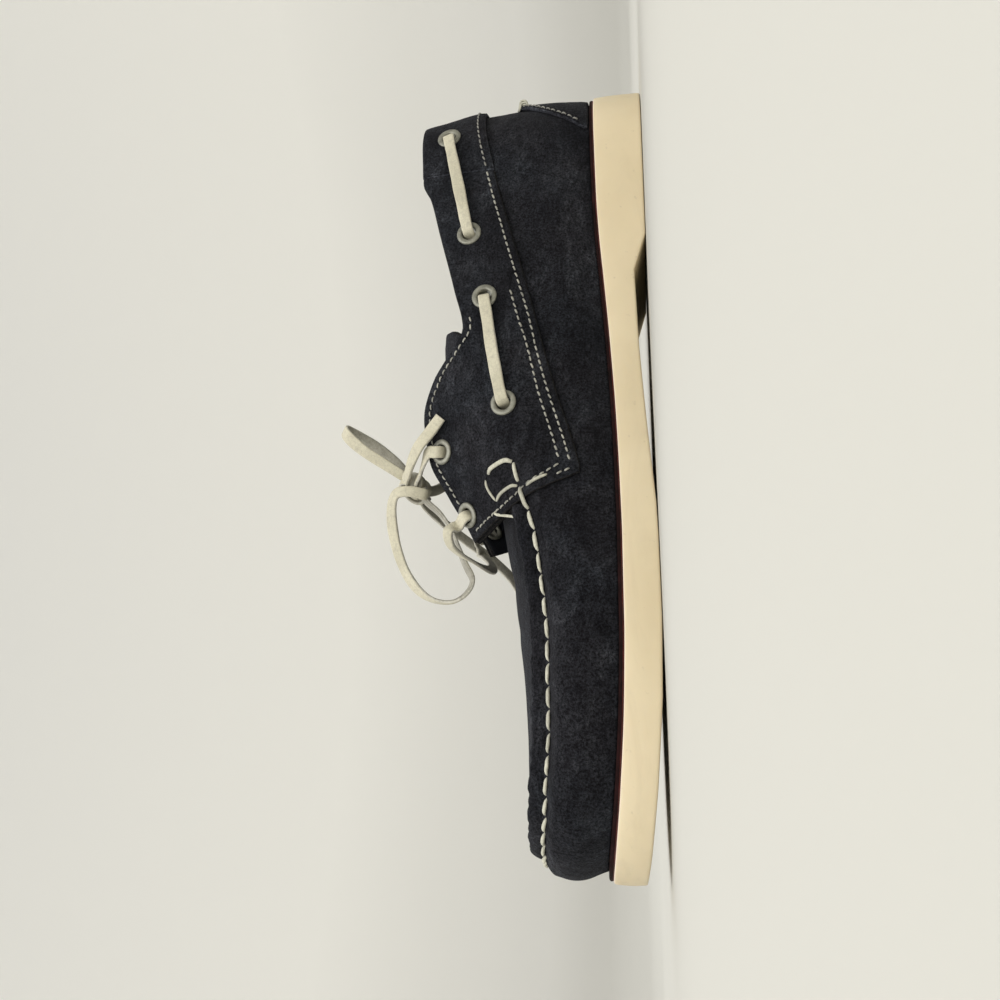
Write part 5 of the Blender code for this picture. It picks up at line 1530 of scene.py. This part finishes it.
# ---- stage, light and camera ----
def pale_floor():
    """Pale cloth. Painted light: up the far backdrop the colour grows paler and a faint glow is
    added, so that it meets the floor's tone.
    """
    n = Nodes("pale_floor")
    cloud = n.noise(3.0, 3, 0.5)
    height = n.add("ShaderNodeSeparateXYZ")
    n.link(n.where, height.inputs[0])
    flat = n.ramp(cloud, [(0.3, (0.555, 0.545, 0.500)), (0.7, (0.570, 0.560, 0.515))])
    # painted light: a paler colour and an emission glow, both rising with height
    colour = n.mix(n.range(height.outputs["Z"], 0.0, 0.25), flat, (0.70, 0.69, 0.65))
    n.link(n.range(height.outputs["Z"], 0.02, 0.9, 0.0, 0.22), n.shader.inputs["Emission Strength"])
    n.material.cycles.emission_sampling = "NONE"
    return n.finish(colour, 0.95, Specular_IOR_Level=0.1, Emission_Color=(1.0, 0.98, 0.90, 1.0))


PALE = pale_floor()


def stage():
    """A floor that curves up into a backdrop on all sides."""
    rings = [(0.0, 0.0), (0.25, 0.0), (0.6, 0.0), (1.0, 0.0), (1.3, 0.02), (1.6, 0.10),
             (1.85, 0.28), (2.0, 0.55), (2.05, 0.9), (2.05, 2.6)]
    turns = np.linspace(0, 2 * np.pi, 64, endpoint=False)
    points = [
        (CENTRE_X + r / MM * math.cos(a), LENGTH / 2 + r / MM * math.sin(a), z / MM)
        for r, z in rings for a in turns
    ]
    faces = quads(len(rings), len(turns), close_columns=True)
    made = piece("floor_and_backdrop", points, faces, [PALE])
    made.location.z = -0.0002


def area_light(name, place_at, aim, size, power, colour):
    light = bpy.data.lights.new(name, "AREA")
    light.shape, light.size, light.energy, light.color = "DISK", size, power, colour
    made = bpy.data.objects.new(name, light)
    made.location = place_at
    made.rotation_euler = (Vector(aim) - Vector(place_at)).to_track_quat("-Z", "Y").to_euler()
    bpy.context.scene.collection.objects.link(made)


stage()
area_light("key", (-0.75, 0.1, 1.25), (0, 0, 0.04), 1.1, 10, (1.0, 0.99, 0.965))
area_light("low_fill", (-1.45, 0.4, 0.75), (0, 0, 0.05), 1.1, 7.6, (1.0, 0.99, 0.97))
area_light("far_fill", (0.95, 0.2, 0.9), (0, 0, 0.05), 1.0, 6, (0.98, 0.99, 1.0))
world = bpy.data.worlds.new("soft_room")
world.use_nodes = True
world.node_tree.nodes["Background"].inputs["Color"].default_value = (0.93, 0.945, 1.0, 1)
world.node_tree.nodes["Background"].inputs["Strength"].default_value = 0.62
bpy.context.scene.world = world
bpy.context.scene.view_settings.view_transform = "Standard"

camera_data = bpy.data.cameras.new("camera")
camera_data.sensor_width = 36.0
camera_data.lens = 28.4
camera_data.clip_start = 0.01
camera = bpy.data.objects.new("camera", camera_data)
bpy.context.scene.collection.objects.link(camera)
bpy.context.scene.camera = camera
EYE = np.array([-0.2872, 0.0907, 0.0045])
AIM = np.array([0.0, 0.018, 0.058])
ahead = unit(AIM - EYE)
down = np.array([-0.1, 1.0, 0.0])
down = unit(down - ahead * (down @ ahead))
right = np.cross(down, ahead)
cos, sin = math.cos(math.radians(-1.6)), math.sin(math.radians(-1.6))
right, down = right * cos + down * sin, down * cos - right * sin
camera.matrix_world = Matrix([*zip(right, -down, -ahead, EYE), (0, 0, 0, 1)])

bpy.context.view_layer.update()
